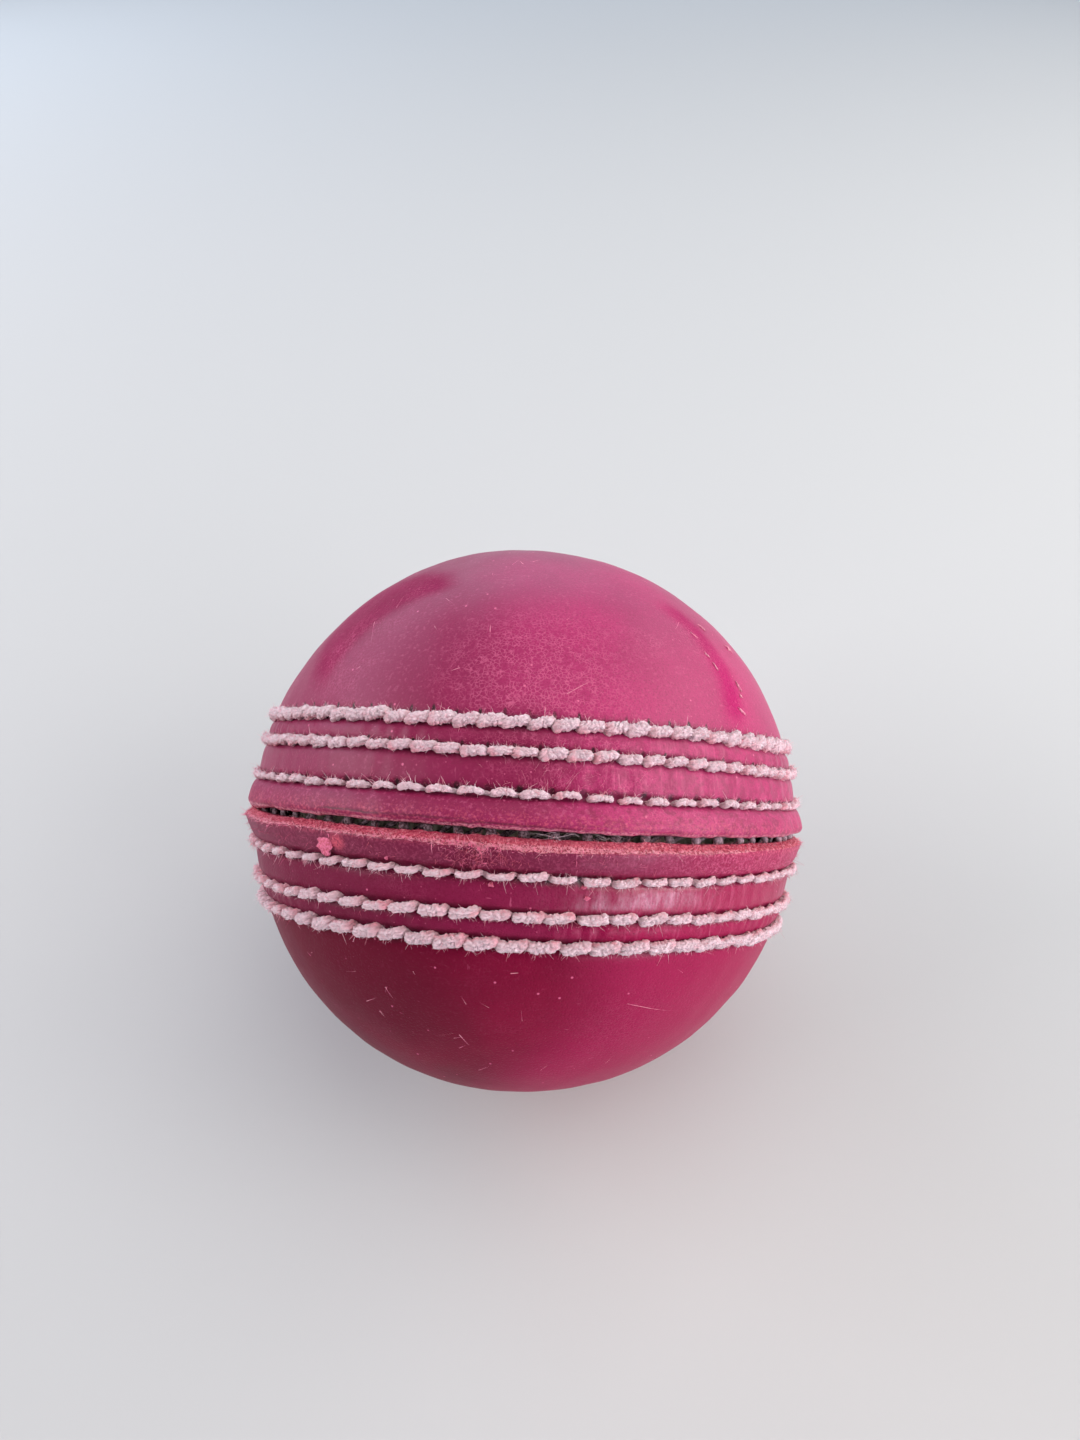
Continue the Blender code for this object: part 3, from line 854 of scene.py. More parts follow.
def thread_points(row, sizes):
    """A row's thread as rings of points: stitches on top, and its hidden way between the holes."""
    draw = np.random.default_rng(row.seed)
    radius = sizes.leather_radius
    pitch = TURN / row.stitches
    count = row.stitches
    reach = 0.5 * row.length * pitch * draw.uniform(0.90, 1.05, (count, 1))
    slant = 0.5 * row.slant * MM * draw.uniform(0.5, 1.4, (count, 1))
    middle = (np.arange(count)[:, None] + 0.5 + draw.uniform(-0.045, 0.045, (count, 1))) * pitch
    offset = draw.normal(0, 0.06 * MM, (count, 1))
    plump = draw.uniform(0.82, 1.06, (count, 1))
    arch = row.side * row.arch * MM

    above = np.linspace(-1, 1, RINGS_ABOVE)[None]
    dive = ease(np.abs(above), 0.62 if row.length > 1 else 0.74, 1.0)
    turn_above = middle + above * reach
    slant_above = offset + above * slant + arch * (0.5 - above**2)
    lift_above = row.thread * (-1.6 * dive) + 0 * reach
    size_above = plump * (1 - 0.14 * dive - 0.06 * row.side * above)

    below = np.linspace(0, 1, RINGS_BELOW + 2)[None, 1:-1]
    onward = np.roll(middle - reach, -1, 0) + np.where(np.arange(count) == count - 1, TURN, 0)[:, None]
    turn_below = (1 - below) * (middle + reach) + below * onward
    ends = (1 - below) * (offset + slant) + below * np.roll(offset - slant, -1, 0)
    slant_below = ends - 0.5 * arch
    lift_below = row.thread * (-1.6 - 0.5 * np.sin(np.pi * below)) + 0 * reach
    size_below = 0.86 * plump + 0 * below

    turn = np.concatenate((turn_above, turn_below), 1).ravel()
    across = np.concatenate((slant_above, slant_below), 1).ravel()
    lift = np.concatenate((lift_above, lift_below), 1).ravel()
    size = 0.94 * row.thread * np.concatenate((size_above, size_below), 1).ravel()
    along = np.concatenate((above + 0 * reach, np.ones((count, RINGS_BELOW))), 1).ravel()

    latitude = row.side * math.asin(row.height / radius) + across / radius
    line = round_ball(math.radians(row.start) + turn, latitude, radius + sizes.seat - 0.05 * MM + lift)
    sideways, upward = thread_sides(line)
    step = np.arange(THREAD_SIDES) / THREAD_SIDES * TURN
    around = step + 0.45 * np.cos(step)
    wide = 0.82 if row.arch else 0.92
    section = np.cos(around)[:, None] * wide * sideways[:, None]
    section = section + np.sin(around)[:, None] * 0.82 * upward[:, None]
    points = line[:, None] + section * size[:, None, None]
    along_thread = radius * turn[:, None] + 0 * around
    drawn = np.stack((0.7 * along_thread, points[..., 2], np.hypot(points[..., 0], points[..., 1])), -1)
    crinkle = np.minimum(np.abs(swell(drawn, 0.55 * MM, row.seed + 50)), 1.2) - 0.7
    creases = np.minimum(np.abs(swell(drawn, 0.30 * MM, row.seed + 60)), 1.0) - 0.6
    lumps = 0.05 * swell(points, 1.1 * MM, row.seed) + 0.34 * crinkle + 0.20 * creases
    points = points + section * (size[:, None] * lumps)[..., None]

    each = RINGS_ABOVE + RINGS_BELOW
    dyed = np.repeat(draw.uniform(0.25, 1.0, count), each)
    tip = ease(-row.side * along, 0.2, 0.95) * dyed
    edge = -row.side * section[..., 2]
    stain = np.clip(tip[:, None] + 0.9 * dyed[:, None] * ease(edge, 0.35, 0.9), 0, 1)
    shade = np.maximum(ease(-crinkle, 0.2, 0.7), 0.7 * ease(-creases, 0.2, 0.6))
    shown = (lift > -0.6 * row.thread)[:, None] & (np.sin(around) > -0.25)
    outer_edge = shown & (row.side * section[..., 2] > 0.35)
    return points, {"stain": stain, "shade": shade, "shown": shown, "outer_edge": outer_edge}


def thread_map(corners):
    """Tiles of a flat map, one to each stitch."""
    rings = RINGS_ABOVE + RINGS_BELOW
    stitch = corners[..., 0].min(axis=1, keepdims=True) // rings
    along = (corners[..., 0] - stitch * rings) / rings
    around = corners[..., 1] / THREAD_SIDES
    column, line = stitch % MAP_TILES, stitch // MAP_TILES
    return np.stack((column + 0.02 + 0.96 * along, line + 0.02 + 0.96 * around), -1) / MAP_TILES


def thread_finish(context):
    """White thread gone pink: crinkled fibre, dye at the foot of each stitch and painted shade in the
    creases.
    """
    colours = context.scene.ball_colours
    finish = Finish("stitch_thread")
    place = finish.place()
    fibre = finish.noise(place, 3.6, 5.0, 0.72)
    crumbs = finish.cells(place, 3.2, "F1").between(0.0, 0.6)
    cloud = finish.noise(place, 0.9, 3.0)
    stain = finish.held("stain") * cloud.between(0.26, 0.54)
    smudge = finish.noise(place, 1.6, 3.0).between(0.56, 0.70)
    wrinkles = 1 - abs(finish.noise(place, 2.2, 3.0, 0.6) - 0.5).between(0.0, 0.035)
    # Painted shade in the crinkles and wrinkles, with a little soiling in the fibre.
    creased = finish.held("shade") * 0.42 + fibre.between(0.46, 0.36) * 0.08 + wrinkles * 0.12
    colour = finish.blend(stain.math("MAXIMUM", smudge * 0.30), colours.thread, colours.thread_stain)
    colour = finish.blend(creased, colour, colours.thread_shade_and_grime)
    return finish.set(
        Base_Color=colour,
        Roughness=0.95,
        Normal=finish.bump(fibre - crumbs * 0.4 - wrinkles * 0.3, 0.13 * MM, 1.0),
        Specular_IOR_Level=0.2,
        Sheen_Weight=0.8,
        Sheen_Roughness=0.4,
    )


def hairs(lines, thickness):
    """Thin tapering hairs along lines of points: their points, their sides and their ends."""
    count, rings = lines.shape[:2]
    ahead = np.gradient(lines, axis=1)
    ahead /= np.linalg.norm(ahead, axis=-1, keepdims=True)
    first = np.cross(ahead, (0.31, 0.52, 0.79))
    first /= np.linalg.norm(first, axis=-1, keepdims=True)
    second = np.cross(ahead, first)
    turn = np.arange(HAIR_SIDES) / HAIR_SIDES * TURN
    section = np.cos(turn)[:, None] * first[:, :, None] + np.sin(turn)[:, None] * second[:, :, None]
    taper = 1 - 0.8 * np.linspace(0, 1, rings)
    points = lines[:, :, None] + section * (thickness[:, None] * taper)[..., None, None]
    row, side = (grid.ravel() for grid in np.meshgrid(range(rings - 1), range(HAIR_SIDES), indexing="ij"))
    after = (side + 1) % HAIR_SIDES
    low, high = row * HAIR_SIDES, (row + 1) * HAIR_SIDES
    quads = np.stack((low + side, low + after, high + after, high + side), 1)
    size = rings * HAIR_SIDES
    start = np.arange(count)[:, None] * size
    quads = (quads[None] + start[:, :, None]).reshape(-1, 4)
    ends = np.arange(HAIR_SIDES)
    caps = np.concatenate((start + ends[::-1], start + size - HAIR_SIDES + ends))
    return points.reshape(-1, 3), quads, caps


def hair_map(corners, rings):
    """A small spot of the flat map for each hair."""
    hair, corner = np.divmod(corners, rings * HAIR_SIDES)
    across = math.ceil(math.sqrt(hair.max() + 1))
    line, column = np.divmod(hair, across)
    ring, side = np.divmod(corner, HAIR_SIDES)
    return np.stack((column + 0.1 + 0.25 * side, line + 0.1 + 0.8 * ring / rings), 1) / across


def tufts(draw, roots, ways, spread, length):
    """Lines of short bent fibres that grow from roots about their ways."""
    count = len(roots)
    ways = ways + draw.normal(0, spread, (count, 3))
    ways /= np.linalg.norm(ways, axis=1, keepdims=True)
    lengths = draw.gamma(4.0, length / 4, count).clip(0.4 * length, 2.2 * length)
    along = np.linspace(0, 1, HAIR_RINGS)[None, :, None]
    bends = draw.normal(0, 0.5, (count, 1, 3))
    return roots[:, None] + (ways[:, None] * along + bends * along**2) * lengths[:, None, None]


def fibre_finish(name, colour, tips, sheen):
    """Loose fibre, a little paler or darker from place to place."""
    finish = Finish(name)
    cloud = finish.noise(finish.place(), 1.3, 2.0).between(0.35, 0.65)
    return finish.set(Base_Color=finish.blend(cloud, colour, tips), Roughness=0.9, Sheen_Weight=sheen)


def seam_points(piece):
    """A piece's points and outward normals in the seam axes."""
    mesh = piece.data
    places = np.empty(len(mesh.vertices) * 3, np.float32)
    mesh.attributes["seam"].data.foreach_get("vector", places)
    normals = np.empty_like(places)
    mesh.vertex_normals.foreach_get("vector", normals)
    return places.reshape(-1, 3).astype(float), normals.reshape(-1, 3) @ SEAM


def held_numbers(piece, name):
    """The numbers that a piece's mesh holds under a name."""
    numbers = np.empty(len(piece.data.vertices), np.float32)
    piece.data.attributes[name].data.foreach_get("value", numbers)
    return numbers


@functools.cache
def leather_skin(cover):
    """A cover's skin in the seam axes, ready to be hit by rays."""
    piece = bpy.data.objects[cover]
    places, _ = seam_points(piece)
    return BVHTree.FromPolygons(places.tolist(), [face.vertices for face in piece.data.polygons])


def on_leather(cover, points):
    """Where lines out of the ball's middle through points leave a cover, and the normals there."""
    skin = leather_skin(cover)
    hits, normals = [], []
    for way in points:
        way = Vector(way).normalized()
        hit, normal, _, _ = skin.ray_cast(way * 0.05, -way)
        hits.append(hit)
        normals.append(normal)
    return np.array(hits), np.array(normals)


def add_hairs(name, lines, thickness, material):
    """A piece of hairs along lines, of random thickness between two."""
    draw = np.random.default_rng(len(lines))
    points, quads, caps = hairs(lines, draw.uniform(*thickness, len(lines)) * MM)
    flat_map = hair_map(np.concatenate((quads.ravel(), caps.ravel())), lines.shape[1])
    return add_piece(name, points, quads.tolist() + caps.tolist(), material, None, flat_map)


class BALL_OT_upper_cover(bpy.types.Operator):
    """Make the upper leather cup, with its rolled lip"""

    bl_idname = "ball.upper_cover"
    bl_label = "Upper cover"

    def execute(self, context):
        material = leather_finish("upper_leather", 1, context)
        make_cover("upper_cover", "upper_cup", 1, material, context)
        return {"FINISHED"}


class BALL_OT_lower_cover(bpy.types.Operator):
    """Make the lower leather cup, with its raw cut lip"""

    bl_idname = "ball.lower_cover"
    bl_label = "Lower cover"

    def execute(self, context):
        material = leather_finish("lower_leather", -1, context)
        make_cover("lower_cover", "lower_cup", -1, material, context)
        return {"FINISHED"}


class BALL_OT_stitches(bpy.types.Operator):
    """Sew the six rows of stitches"""

    bl_idname = "ball.stitches"
    bl_label = "Stitches"

    def execute(self, context):
        material = thread_finish(context)
        for row in stitch_rows(context.scene.ball_sizes):
            points, held = thread_points(row, context.scene.ball_sizes)
            faces, corners = grid_faces(len(points), THREAD_SIDES, True, False)
            name = row.node.replace("_row", "es")
            add_piece(
                name, points.reshape(-1, 3), faces.tolist(), material,
                held, thread_map(corners), (row.node,),
            )
        return {"FINISHED"}


class BALL_OT_thread_fuzz(bpy.types.Operator):
    """Raise loose fibres on the stitches"""

    bl_idname = "ball.thread_fuzz"
    bl_label = "Thread fuzz"

    def execute(self, context):
        colours = context.scene.ball_colours
        draw = np.random.default_rng(70)
        short_hairs, edge_hairs = 48, 12
        material = fibre_finish("thread_fibre", colours.thread, colours.thread_stain, 0.3)
        for row in stitch_rows(context.scene.ball_sizes):
            piece = bpy.data.objects[row.node.replace("_row", "es")]
            places, normals = seam_points(piece)
            shown = np.flatnonzero(held_numbers(piece, "shown") > 0.5)
            shown = draw.choice(shown, short_hairs * row.stitches)
            roots = places - 0.04 * MM * normals
            lines = [tufts(draw, roots[shown], 0.6 * normals[shown], 0.8, 0.25 * MM)]
            edge = np.flatnonzero(held_numbers(piece, "outer_edge") > 0.5)
            edge = draw.choice(edge, edge_hairs * row.stitches)
            ways = 0.6 * normals[edge] + (0, 0, 0.7 * row.side)
            length = 0.42 * MM if row.arch else 0.34 * MM
            lines.append(tufts(draw, roots[edge], ways, 0.45, length))
            name = row.node.replace("stitch_row", "fuzz")
            add_hairs(name, np.concatenate(lines), (0.018, 0.036), material)
        return {"FINISHED"}


class BALL_OT_leather_nap(bpy.types.Operator):
    """Raise the nap of the raw cut lip"""

    bl_idname = "ball.leather_nap"
    bl_label = "Leather nap"

    def execute(self, context):
        colours = context.scene.ball_colours
        draw = np.random.default_rng(80)
        piece = bpy.data.objects["lower_cover"]
        places, normals = seam_points(piece)
        cut = (held_numbers(piece, "raw") > 0.5) & (held_numbers(piece, "slot") < 0.5)
        depth = -places[:, 2]
        corner = context.scene.ball_sizes.lower_corner
        bearing = np.arctan2(places[:, 0], -places[:, 1])
        torn = 0.35 + near_bearing(bearing, -9, 8) + 2.0 * near_bearing(bearing, -6.1, 1.2)
        frayed = torn * (cut & (depth > 0.75 * corner))
        fuzzed = (0.04 + near_bearing(bearing, -6.6, 4)) * hump(depth, 1.6 * MM, 3.6 * MM)
        fuzzed = fuzzed * (held_numbers(piece, "raw") + held_numbers(piece, "slot") < 0.5)
        groups = (
            ("raw_nap", cut, 5200, 0.22, (0.020, 0.040), colours.raw_leather, colours.raw_nap, 0.0),
            ("frayed_edge", frayed, 2600, 0.32, (0.026, 0.055), colours.raw_nap, colours.flake, -0.6),
            ("lip_fibres", fuzzed, 900, 0.48, (0.018, 0.036), colours.raw_leather, colours.wear_and_sheen, 0.0),
        )
        for name, odds, count, length, thickness, colour, tips, droop in groups:
            picked = draw.choice(len(odds), count, p=odds / odds.sum())
            roots = places[picked] + draw.normal(0, 0.10 * MM, (count, 3)) - 0.06 * MM * normals[picked]
            lines = tufts(draw, roots, normals[picked] + (0, 0, droop), 0.6, length * MM)
            add_hairs(name, lines, thickness, fibre_finish(name, colour, tips, 0.1))
        return {"FINISHED"}


class BALL_OT_hole_whiskers(bpy.types.Operator):
    """Raise whiskers of dyed leather at the needle holes"""

    bl_idname = "ball.hole_whiskers"
    bl_label = "Hole whiskers"

    def execute(self, context):
        colours = context.scene.ball_colours
        draw = np.random.default_rng(85)
        sizes = context.scene.ball_sizes
        material = fibre_finish("dyed_fibre", colours.wear_and_sheen, colours.raw_leather, 0.1)
        for side, cover, slot in COVERS:
            spots = []
            for row in stitch_rows(sizes):
                if row.side != side:
                    continue
                each = 9 if row.arch else 5
                turn = np.repeat(np.arange(row.stitches), each) * TURN / row.stitches
                turn += math.radians(row.start)
                turn += draw.normal(0, 0.35 * MM, len(turn)) / sizes.leather_radius
                height = row.height + row.thread + np.abs(draw.normal(0, 0.28 * MM, len(turn)))
                spots.append(round_ball(turn, side * np.arcsin(height / sizes.leather_radius), 1.0))
            roots, normals = on_leather(cover, np.concatenate(spots))
            ways = 0.6 * normals + (0, 0, 0.4 * side)
            lines = tufts(draw, roots - 0.04 * MM * normals, ways, 0.5, 0.34 * MM)
            add_hairs(cover.replace("cover", "whiskers"), lines, (0.014, 0.026), material)
        scuffed_hairs = 90
        turn = np.radians(draw.normal(8, 6, scuffed_hairs))
        height = draw.uniform(4.9, 7.2, scuffed_hairs) * MM
        scuffed = round_ball(turn, np.arcsin(height / sizes.leather_radius), 1.0)
        roots, normals = on_leather("upper_cover", scuffed)
        lines = tufts(draw, roots - 0.02 * MM * normals, 0.35 * normals + (0, 0, 0.5), 0.6, 0.60 * MM)
        material = fibre_finish("scuffed_fibre", colours.raw_nap, colours.wear_and_sheen, 0.1)
        add_hairs("scuffed_whiskers", lines, (0.010, 0.020), material)
        return {"FINISHED"}


class BALL_OT_loose_fibres(bpy.types.Operator):
    """Lay the few loose fibres that hang out of the slot"""

    bl_idname = "ball.loose_fibres"
    bl_label = "Loose fibres"

    def execute(self, context):
        colours = context.scene.ball_colours
        draw = np.random.default_rng(88)
        count, rings = 16, 9
        bearing = np.radians(np.concatenate((draw.uniform(4, 19, 11), draw.uniform(20, 340, 5))))
        along = np.linspace(0, 1, rings)[None]
        sweep = draw.uniform(0.8, 2.4, (count, 1)) * MM * draw.choice((-1, 1), (count, 1))
        turn = bearing[:, None] + sweep / context.scene.ball_sizes.leather_radius * along
        curl = 0.22 * MM * np.sin(along * draw.uniform(2, 6, (count, 1)) + draw.uniform(0, TURN, (count, 1)))
        height = draw.uniform(-0.25, 0.30, (count, 1)) * MM + curl
        lift = draw.uniform(-0.2, 0.3, (count, 1)) * MM + 0.5 * MM * along**2 * draw.uniform(0, 1, (count, 1))
        reach = context.scene.ball_sizes.leather_radius + lift
        lines = np.stack((reach * np.sin(turn), -reach * np.cos(turn), height), -1)
        material = fibre_finish("loose_fibre", (0.62, 0.50, 0.50), colours.strand, 0.2)
        add_hairs("loose_fibres", lines, (0.022, 0.040), material)
        return {"FINISHED"}


class BALL_OT_flakes(bpy.types.Operator):
    """Stick the torn flake, the crumbs and the lifted chips of leather to the covers"""

    bl_idname = "ball.flakes"
    bl_label = "Leather flakes"

    def execute(self, context):
        colours = context.scene.ball_colours
        torn = self.torn_leather("torn_leather", colours.raw_leather, colours.flake)
        chipped = self.torn_leather("chipped_leather", colours.wear_and_sheen, colours.raw_nap)
        self.stick("leather_flakes", "lower_cover", "lower_leather", FLAKES, torn, context)
        self.stick("leather_chips", "upper_cover", "upper_leather", CHIPS, chipped, context)
        return {"FINISHED"}

    def torn_leather(self, name, colour, nap_colour):
        """Rough torn leather."""
        finish = Finish(name)
        nap = finish.noise(finish.place(), 4.0, 4.0, 0.7)
        colour = finish.blend(nap.between(0.35, 0.65), colour, nap_colour)
        return finish.set(Base_Color=colour, Roughness=0.85, Normal=finish.bump(nap, 0.2 * MM))

    def stick(self, name, cover, slot, flakes, material, context):
        """Lumpy flakes on a cover."""
        lump = bmesh.new()
        bmesh.ops.create_icosphere(lump, subdivisions=3, radius=1.0)
        shape = np.array([corner.co for corner in lump.verts])
        shape_faces = np.array([[corner.index for corner in face.verts] for face in lump.faces])
        lump.free()
        spots = np.radians([flake.bearing for flake in flakes])
        heights = np.array([flake.height for flake in flakes]) * MM / context.scene.ball_sizes.leather_radius
        roots, _ = on_leather(cover, round_ball(spots, np.arcsin(heights), 1.0))
        points = []
        for number, (root, spot, flake) in enumerate(zip(roots, spots, flakes)):
            out = root / np.linalg.norm(root)
            right = np.array((math.cos(spot), math.sin(spot), 0.0))
            up = np.cross(out, right)
            size = np.array((flake.length, flake.width, flake.thickness)) * MM
            lean = math.radians(flake.lean)
            way = math.cos(lean) * right + math.sin(lean) * up
            lumps = 1 + 0.20 * swell(shape, 0.9, 96 + number) + 0.12 * swell(shape, 0.4, 97 + number)
            bumpy = shape * lumps[:, None]
            parts = np.stack((way, np.cross(out, way), out))
            points.append(root + 0.5 * size[2] * out + (bumpy * size) @ parts)
        faces = (shape_faces[None] + len(shape) * np.arange(len(flakes))[:, None, None]).reshape(-1, 3)
        add_piece(name, np.concatenate(points), faces.tolist(), material)


class BALL_OT_scuffs(bpy.types.Operator):
    """Lift thin slivers of grain along the scuffs and scratches"""

    bl_idname = "ball.scuffs"
    bl_label = "Scuffs"

    def execute(self, context):
        colours = context.scene.ball_colours
        draw = np.random.default_rng(99)
        random_scuffs, rings = 70, 10
        radius = context.scene.ball_sizes.leather_radius
        material = fibre_finish("scuffed_grain", colours.raw_nap, colours.wear_and_sheen, 0.0)
        for side, cover, slot in COVERS:
            first = [scuff[:2] for scuff in SCUFFS if scuff[1] * side > 0]
            last = [scuff[2:] for scuff in SCUFFS if scuff[1] * side > 0]
            for _ in range(random_scuffs):
                bearing, height = draw.uniform(0, 360), side * draw.uniform(14, 34.5)
                first.append((bearing, height))
                onward = bearing + draw.normal(0, 3.0)
                last.append((onward, np.clip(height + draw.normal(0, 1.2), -35.2, 35.2)))
            ends = np.array((first, last))
            ends = round_ball(np.radians(ends[..., 0]), np.arcsin(ends[..., 1] * MM / radius), 1.0)
            along = np.linspace(0, 1, rings)[None, :, None]
            lines = ends[0, :, None] * (1 - along) + ends[1, :, None] * along
            skin, normals = on_leather(cover, lines.reshape(-1, 3))
            lines = (skin - 0.012 * MM * normals).reshape(lines.shape)
            add_hairs(cover.replace("cover", "scuffs"), lines, (0.026, 0.060), material)
        return {"FINISHED"}


class BALL_OT_closing_strands(bpy.types.Operator):
    """Lace the dark strands behind the open slot"""

    bl_idname = "ball.closing_strands"
    bl_label = "Closing strands"

    def execute(self, context):
        sizes = context.scene.ball_sizes
        colours = context.scene.ball_colours
        draw = np.random.default_rng(90)
        count, each, sides = sizes.closing_stitches, 20, 12
        pitch = TURN / count
        step = np.arange(each)[None] / each
        across = ease(step, 0.0, 0.5) - ease(step, 0.5, 1.0)
        along = 0.16 * ease(step, 0.0, 0.5) + 0.84 * ease(step, 0.5, 1.0)
        rise = hump(step, 0.0, 0.5) * draw.uniform(0.75, 1.1, (count, 1))
        turn = (np.arange(count)[:, None] + along + draw.normal(0, 0.06, (count, 1))) * pitch
        height = (0.80 - 1.70 * across + 0 * turn) * MM
        reach = sizes.leather_radius - sizes.slot_depth - 0.75 * MM + MM * rise
        reach = reach + 0.30 * MM * rise * near_bearing(turn, 62, 24)
        turn, height, reach, rise = (part.ravel() for part in (turn, height, reach, rise))
        line = np.stack((reach * np.sin(turn), -reach * np.cos(turn), height), -1)
        sideways, upward = thread_sides(line)
        around = np.arange(sides) / sides * TURN
        section = np.cos(around)[:, None] * sideways[:, None]
        section = section + 0.75 * np.sin(around)[:, None] * upward[:, None]
        points = line[:, None] + (0.28 + 0.26 * rise[:, None, None]) * MM * section
        points = points + 0.05 * MM * section * swell(points, 0.5 * MM, 90)[..., None]
        rings = count * each
        faces, corners = grid_faces(rings, sides, True, False)
        finish = Finish("closing_strand")
        place = finish.place()
        fibre = finish.noise(place, 4.0, 3.0)
        # Painted shade: the strands darker from the right end toward the middle and the left.
        shaded = finish.parts(place)[0].between(26.0, 4.0) * 0.5
        colour = finish.blend(fibre.between(0.35, 0.65) * 0.5 + shaded, colours.strand, colours.shade_and_dirt)
        material = finish.set(Base_Color=colour, Roughness=0.85, Normal=finish.bump(fibre, 0.1 * MM))
        flat_map = corners[..., ::-1] / (sides, rings)
        add_piece(
            "closing_strands", points.reshape(-1, 3), faces.tolist(), material,
            None, flat_map, ("closing_lacing",),
        )
        return {"FINISHED"}


class BALL_OT_quilt(bpy.types.Operator):
    """Give the cork and the yarn inside the ball their finishes"""

    bl_idname = "ball.quilt"
    bl_label = "Quilt"

    def execute(self, context):
        colours = context.scene.ball_colours
        finishes = {"cork": self.cork(colours), "yarn": self.yarn(colours)}
        for name, node in frame["nodes"].items():
            kind = name.split("_")[0]
            if kind in finishes:
                node.data.materials.clear()
                node.data.materials.append(finishes[kind])
        return {"FINISHED"}

    def cork(self, colours):
        """Pressed cork: grains with dark edges."""
        finish = Finish("cork_grain")
        place = finish.value("TexCoord", None, None, "Object")
        grain = finish.cells(place, 700.0, "DISTANCE_TO_EDGE").between(0.0, 0.12)
        cloud = finish.noise(place, 300.0, 3.0)
        colour = finish.blend(grain * 0.7 + cloud * 0.3, (0.12, 0.06, 0.03), colours.cork)
        return finish.set(Base_Color=colour, Roughness=0.9, Normal=finish.bump(grain, 0.2 * MM))

    def yarn(self, colours):
        """Worsted yarn in close turns."""
        finish = Finish("worsted_yarn")
        place = finish.value("TexCoord", None, None, "Object")
        sockets = {"Vector": place, "Scale": 260.0, "Distortion": 3.0, "Detail": 2.0}
        turns = finish.value("TexWave", None, sockets, "Fac")
        colour = finish.blend(turns * 0.6, colours.yarn, (0.34, 0.28, 0.20))
        return finish.set(Base_Color=colour, Roughness=0.95, Normal=finish.bump(turns, 0.2 * MM))


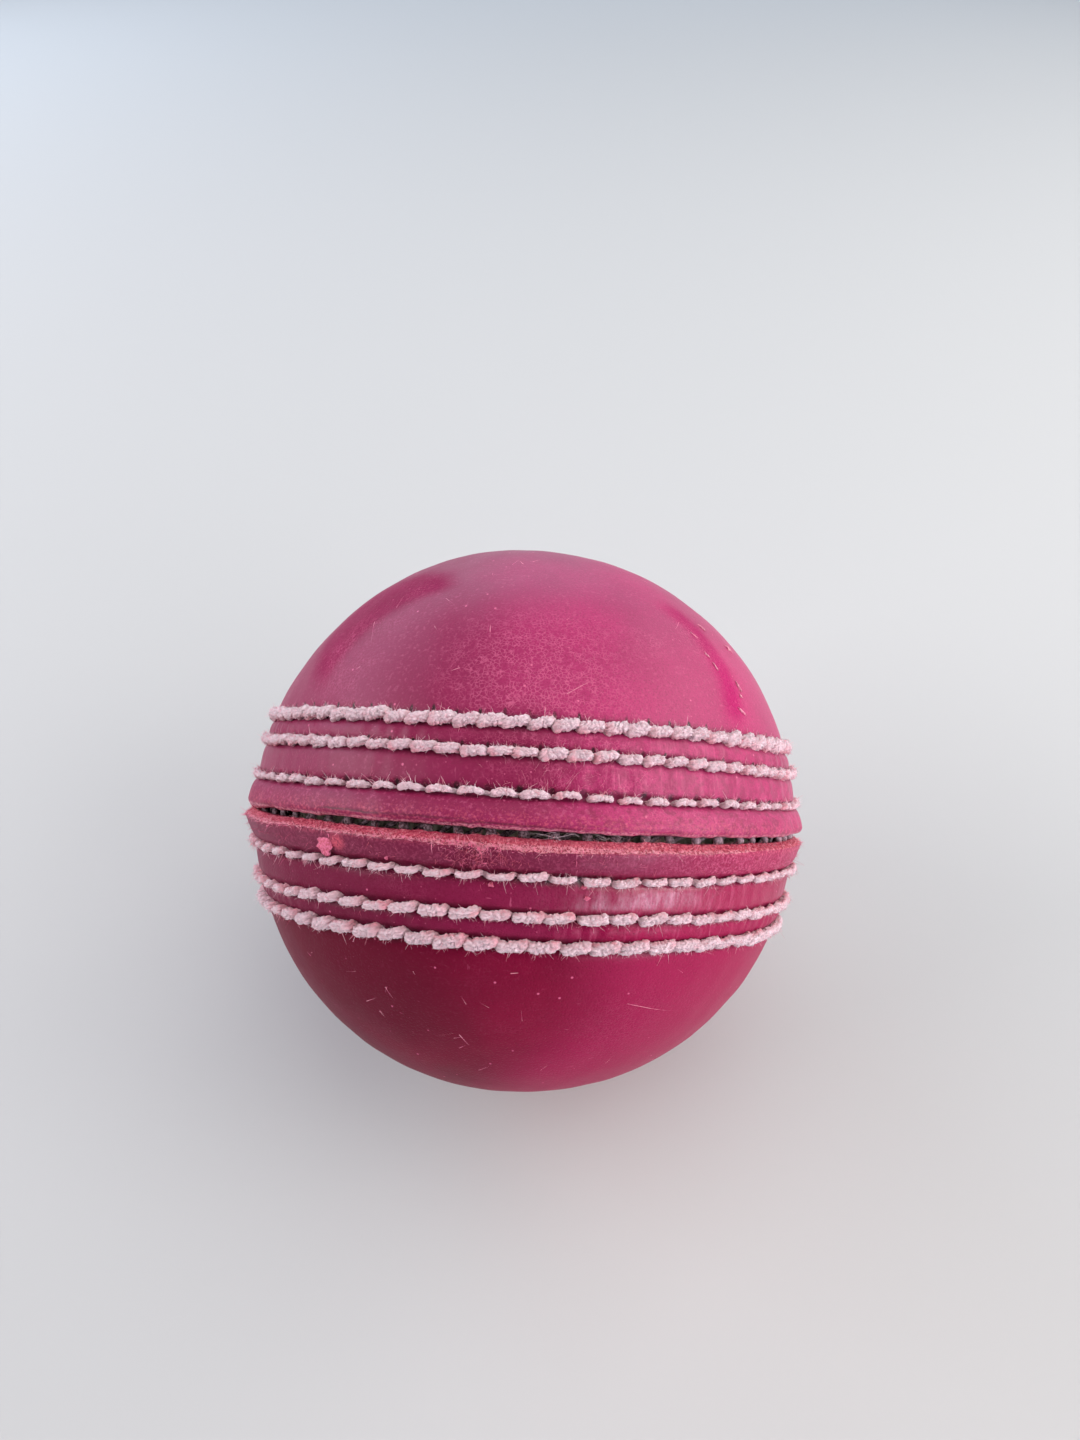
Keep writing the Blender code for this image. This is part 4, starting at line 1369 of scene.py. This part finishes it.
class BALL_OT_stage(bpy.types.Operator):
    """Set the floor, the soft light and the camera"""

    bl_idname = "ball.stage"
    bl_label = "Stage"

    def execute(self, context):
        stage = context.scene.ball_stage
        self.floor(context, stage)
        self.lights(context, stage)
        self.camera(context, stage)
        context.scene.view_settings.view_transform = "Standard"
        return {"FINISHED"}

    def floor(self, context, stage):
        """A wide pale floor under the ball."""
        shape = bmesh.new()
        bmesh.ops.create_grid(shape, x_segments=1, y_segments=1, size=3.0)
        mesh = bpy.data.meshes.new("floor")
        shape.to_mesh(mesh)
        shape.free()
        finish = Finish("pale_floor")
        mesh.materials.append(finish.set(Base_Color=stage.floor, Roughness=0.9, Specular_IOR_Level=0.1))
        floor = bpy.data.objects.new("floor", mesh)
        floor.location.z = CAD_BOX[0][2]
        context.scene.collection.objects.link(floor)

    def lights(self, context, stage):
        """Even daylight, softboxes at the sides, strips behind, a light overhead and a low one in front."""
        cool = (0.70, 0.82, 1.0)
        world = bpy.data.worlds.new("studio")
        world.use_nodes = True
        background = world.node_tree.nodes["Background"]
        background.inputs["Color"].default_value = (0.93, 0.95, 1.0, 1.0)
        background.inputs["Strength"].default_value = stage.daylight
        context.scene.world = world
        for name, level, bearing, rise, far, width, tall, colour in (
            ("window", stage.window, 80, 28, 0.60, 0.60, 0.45, (1.0, 0.98, 0.97)),
            ("window_front", stage.window_front, 115, 30, 0.60, 0.50, 0.45, (1.0, 0.98, 0.97)),
            ("window_back", stage.window_back, 45, 25, 0.80, 0.50, 0.40, (1.0, 1.0, 1.0)),
            ("wall", stage.wall, 0, 17, 1.00, 1.40, 0.36, cool),
            ("wall_left", stage.wall_left, -50, 22, 0.80, 0.60, 0.36, cool),
            ("left", stage.left, -95, 26, 0.70, 0.60, 0.40, (1.0, 0.95, 0.98)),
            ("ceiling", stage.ceiling, 60, 75, 0.60, 0.50, 0.50, (1.0, 1.0, 1.0)),
            ("glint", stage.glint, 140, 6, 0.60, 0.46, 0.16, (0.88, 0.83, 1.0)),
        ):
            lamp = bpy.data.lights.new(name, "AREA")
            lamp.shape = "RECTANGLE"
            lamp.size = width
            lamp.size_y = tall
            lamp.energy = (math.pi * far) ** 2 * level
            lamp.color = colour
            light = bpy.data.objects.new(name, lamp)
            turn, lift = math.radians(bearing), math.radians(rise)
            way = Vector((math.sin(turn) * math.cos(lift), math.cos(turn) * math.cos(lift), math.sin(lift)))
            light.location = way * far
            light.rotation_euler = (-way).to_track_quat("-Z", "Y").to_euler()
            light.visible_camera = False
            context.scene.collection.objects.link(light)

    def camera(self, context, stage):
        """A camera that puts the ball where the photograph has it, in a picture of 1080 by 1440."""
        data = bpy.data.cameras.new("camera")
        data.sensor_fit = "VERTICAL"
        data.sensor_height = stage.film_height
        data.lens = stage.lens
        data.clip_start = 0.005
        wide, tall = 1080, 1440
        focal = tall * stage.lens / stage.film_height
        camera = bpy.data.objects.new("camera", data)
        camera.rotation_euler = Euler((math.pi / 2 - stage.pitch, 0, 0))
        right = (stage.ball_column - wide / 2) / focal
        up = (tall / 2 - stage.ball_line) / focal
        towards = Vector((right, up, -1)).normalized()
        camera.location = -stage.distance * (camera.rotation_euler.to_matrix() @ towards)
        context.scene.collection.objects.link(camera)
        context.scene.camera = camera


class BALL_PT_panel(bpy.types.Panel):
    """The ball's sizes, colours and pieces"""

    bl_idname = "BALL_PT_panel"
    bl_label = "Cricket Ball"
    bl_space_type = "VIEW_3D"
    bl_region_type = "UI"
    bl_category = "Ball"

    def draw(self, context):
        for group in (context.scene.ball_sizes, context.scene.ball_colours, context.scene.ball_stage):
            box = self.layout.box()
            for name in group.__annotations__:
                box.prop(group, name)
        for operator in OPERATORS:
            self.layout.operator(operator.bl_idname)


OPERATORS = (
    BALL_OT_upper_cover,
    BALL_OT_lower_cover,
    BALL_OT_stitches,
    BALL_OT_thread_fuzz,
    BALL_OT_leather_nap,
    BALL_OT_hole_whiskers,
    BALL_OT_closing_strands,
    BALL_OT_loose_fibres,
    BALL_OT_flakes,
    BALL_OT_scuffs,
    BALL_OT_quilt,
    BALL_OT_stage,
)
GROUPS = {"ball_sizes": BallSizes, "ball_colours": BallColours, "ball_stage": StageSettings}


def register():
    for group in (*GROUPS.values(), *OPERATORS, BALL_PT_panel):
        bpy.utils.register_class(group)
    for name, group in GROUPS.items():
        setattr(bpy.types.Scene, name, bpy.props.PointerProperty(type=group))


def unregister():
    for name in GROUPS:
        delattr(bpy.types.Scene, name)
    for group in reversed((*GROUPS.values(), *OPERATORS, BALL_PT_panel)):
        bpy.utils.unregister_class(group)


def main():
    """Make every piece in order."""
    register()
    for operator in OPERATORS:
        group, name = operator.bl_idname.split(".")
        getattr(getattr(bpy.ops, group), name)()


if __name__ == "__main__":
    main()
